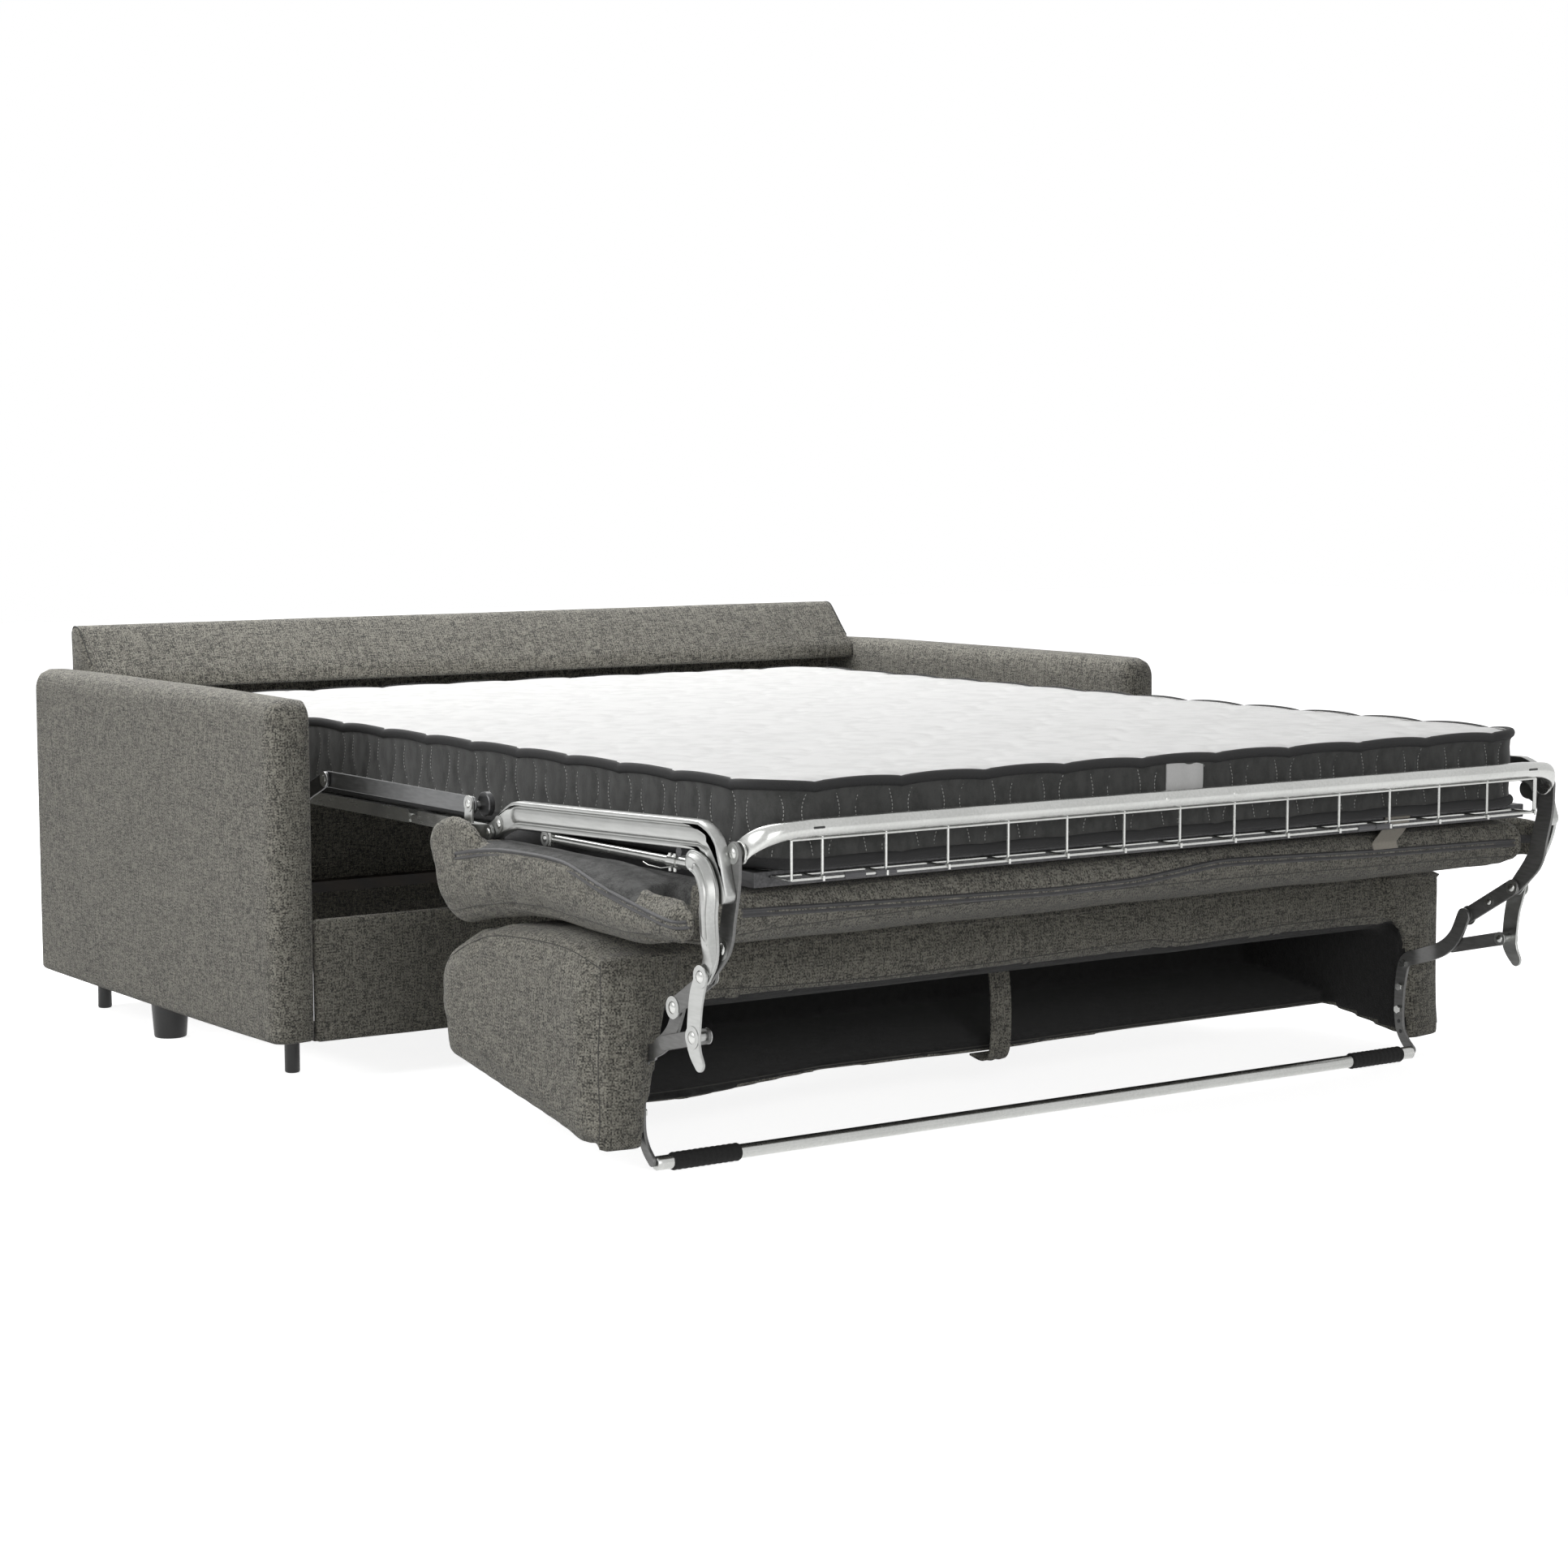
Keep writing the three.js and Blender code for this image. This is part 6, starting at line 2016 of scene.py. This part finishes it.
# The bent rail across the foot end, flattened to an eye at both ends, and the wire basket under it.
rail = {
    "radius": 0.012,
    "place": 2.0475,
    "height": 0.492,
    "straight": 0.655,
    "bend": [(0.7395, *pivots["railEnd"]), (0.7385, 2.0165, 0.4668), (0.734, 2.0255, 0.4745),
             (0.72, 2.0365, 0.4835), (0.695, 2.0445, 0.4893), (0.655, 2.0475, 0.492)],
    "pressed": (0.685, 0.735),
    "eye": (0.0155, 0.737, 0.005),
    "eyeEdge": 0.001,
    "slots": (-0.65, 0.664),
    "slotMark": ((-0.004, 0.0117), (0, 0.012), (0.004, 0.0117)),
    "rivets": (-0.062, 0.063),
    "wire": 0.002,
    "wireLow": 0.4262,
    "wireTop": 0.4777,
    "wireRear": 2.0,
    "wireEnd": 0.684,
    "wires": 14,
    "firstWire": -0.636,
    "lastWire": 0.681,
    "clips": (-0.585, -0.535, 0.33, 0.365),
}


def makeRail():
    form = rail
    bend = [tuple(point) for point in smoothPath(form["bend"], 8)]
    left = [(-x, place, height) for x, place, height in bend]
    xs = np.linspace(-form["straight"], form["straight"], 60)[1:-1]
    middle = [(x, form["place"], form["height"]) for x in xs]
    path = np.array([tuple(spot(*point)) for point in left + middle + bend[::-1]])
    thin = np.array([1.0, 0, 0])
    shaped = []
    for centre, ring in zip(path, sweepRings(path, 28, np.ones(len(path)))):
        pressed = float(easeStep(*form["pressed"], abs(centre[0])))
        scale = (1 + 0.25 * pressed) * (1 - thin) + (1 - 0.78 * pressed) * thin
        shaped.append(centre + form["radius"] * (ring - centre) * scale)
    tube = Shape().loft(shaped)
    radius, inner, thickness = form["eye"]
    edge = form["eyeEdge"]
    eye = [(0.002, 0), (radius - edge, 0), (radius, edge), (radius, thickness - edge),
           (radius - edge, thickness), (0.002, thickness)]
    rivet = [(0.002, 0), (0.007, 0), (0.007, 0.004), (0.002, 0.004)]
    for sign in (-1, 1):
        tube.disc(inner, *pivots["railEnd"], eye, sign)
        tube.disc(inner + thickness, *pivots["railEnd"], rivet, sign)
    tube.fit("footRail", "brightSteel", "foot_section", "bright_steel", "foot_rail", smooth=40)
    # The slots are black marks on the rail: painted shade for the dark of each slot.
    marks = Shape()
    for x in form["slots"]:
        for shift in (-0.004, 0.004):
            marks.tube([spot(x + shift + along, form["place"] + out, form["height"] + 0.0012)
                        for along, out in form["slotMark"]], 0.0016, 12)
    marks.fit("railSlots", "plastic", "foot_section", "black_plastic")
    spots = [spot(x, form["place"] + 0.0115, form["height"] + 0.001) for x in form["rivets"]]
    domes = [(0.0042, 0.0018, 0.0042)] * len(spots)
    heads = repeatOnPoints("railRivets", spots, None, domes, "rivet", {"Radius": 1.0}, "brightSteel")
    follow(heads, "foot_section", "bright_steel")


def makeBasket():
    form = rail
    low, top, front, end = form["wireLow"], form["wireTop"], form["place"] - 0.002, form["wireEnd"]
    unit = Shape()
    bent = roundPath([(form["wireRear"], low), (front, low), (front, top + 0.004)], 0.008, 6)
    unit.tube([spot(0, *point) for point in bent], form["wire"] * 0.95, 8)
    curl = [(front + 0.0035, low - 0.0005 + 0.0035 * math.sin(turn)) for turn in np.linspace(-1.2, 1.2, 5)]
    unit.tube([spot(0, *point) for point in curl], form["wire"] * 0.9, 8)
    one = unit.build("basketWire", "brightSteel")
    xs = np.linspace(form["firstWire"], form["lastWire"], form["wires"])
    made = repeatOnPoints("basketWires", [(x, 0, 0) for x in xs], None, None, one, {}, "brightSteel")
    bpy.data.objects.remove(one)
    follow(made, "foot_section", "bright_steel", "front_basket")
    rods = Shape()
    edges = ((front, low), (front, top), (form["wireRear"], low))
    for point in edges:
        rods.tube([spot(x, *point) for x in np.linspace(-end, end, 40)], form["wire"], 10)
    for sign in (-1, 1):
        rods.tube([spot(sign * end, *edges[index]) for index in (2, 0, 1)], form["wire"], 10)
    rods.fit("basketRods", "brightSteel", "foot_section", "bright_steel")
    clips = Shape()
    for x in form["clips"]:
        clips.tube([spot(x + step, front, low) for step in np.linspace(-0.016, 0.016, 4)], 0.0036, 14)
    clips.fit("basketClips", "clipPlastic", "foot_section", "black_plastic")


# The tube that the backrest stands on, with its two foam sleeves.
def makeFloorTube():
    low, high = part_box("floor_tube")
    middle = (low + high) / 2
    xs = [low.x, low.x + 0.0015, *np.linspace(low.x + 0.01, high.x - 0.01, 40), high.x - 0.0015, high.x]
    radii = [0.0085, 0.0098] + [0.01] * 40 + [0.0098, 0.0085]
    tube = Shape().tube([(x, middle.y, middle.z) for x in xs], radii, 28)
    tube.fit("floorRod", "brightSteel", "backrest", "bright_steel", "floor_tube", smooth=40)
    for side, sign in bothSides:
        low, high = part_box(f"tube_sleeve_{side}")
        xs = np.linspace(low.x + 0.0005, high.x - 0.0005, 44)
        shares = [0.93] + [0.99] * 42 + [0.93]
        radii = [(high.z - low.z) / 2 * share + 0.0003 * math.sin(index * 1.7)
                 for index, share in enumerate(shares)]
        sleeve = Shape().tube([(x, middle.y, middle.z) for x in xs], radii, 30)
        sleeve.fit(f"foamSleeve_{side}", "foam", "backrest", "black_rubber", f"tube_sleeve_{side}", smooth=50)


# Finishes on the solids that stay as they are: a material each.
carried = {
    "brightSteel": ("upper_frame", "headrest_frame", "middle_frame"),
    "darkSteel": ("foot_frame",),
    "satinSteel": ("front_lever", "rear_lever", "side_plate"),
    # The rails inside the sofa take the wood painted dark as shade.
    "wood": ("base_rail", "rear_rail"),
}


def dressFrames():
    for finish, starts in carried.items():
        for name, node in nodes.items():
            if name.startswith(starts):
                for slot in node.material_slots:
                    slot.material = finishes[finish]


# The bare white label on the mattress border.
label = {"left": -0.032, "right": 0.038, "low": 0.498, "high": 0.5415, "stand": 0.0016}


def makeLabel():
    half, middle = (label["high"] - label["low"]) / 2, (label["low"] + label["high"]) / 2
    starts = [spot(x, 2.1, middle) for x in np.linspace(label["left"], label["right"], 16)]
    line = seamLine(Surface(bpy.data.objects["mattressFoot"]), starts, (0, -1, 0), label["stand"])
    section = np.array([(-half, -0.0005), (-half, 0.0005), (-half / 2, 0.0012), (0, 0.0014),
                        (half / 2, 0.0012), (half, 0.0005), (half, -0.0005), (0, -0.0005)])
    layStrip(line, section).fit("mattressLabel", "label", "foot_section", "white_knit", smooth=60)


makeMattress()
print("mattress ready")
makeSeat()
print("seat ready")
makeHood()
print("hood ready")
makeMechanism()
makeRail()
makeBasket()
makeFloorTube()
dressFrames()
makeLabel()
print("mechanism ready")
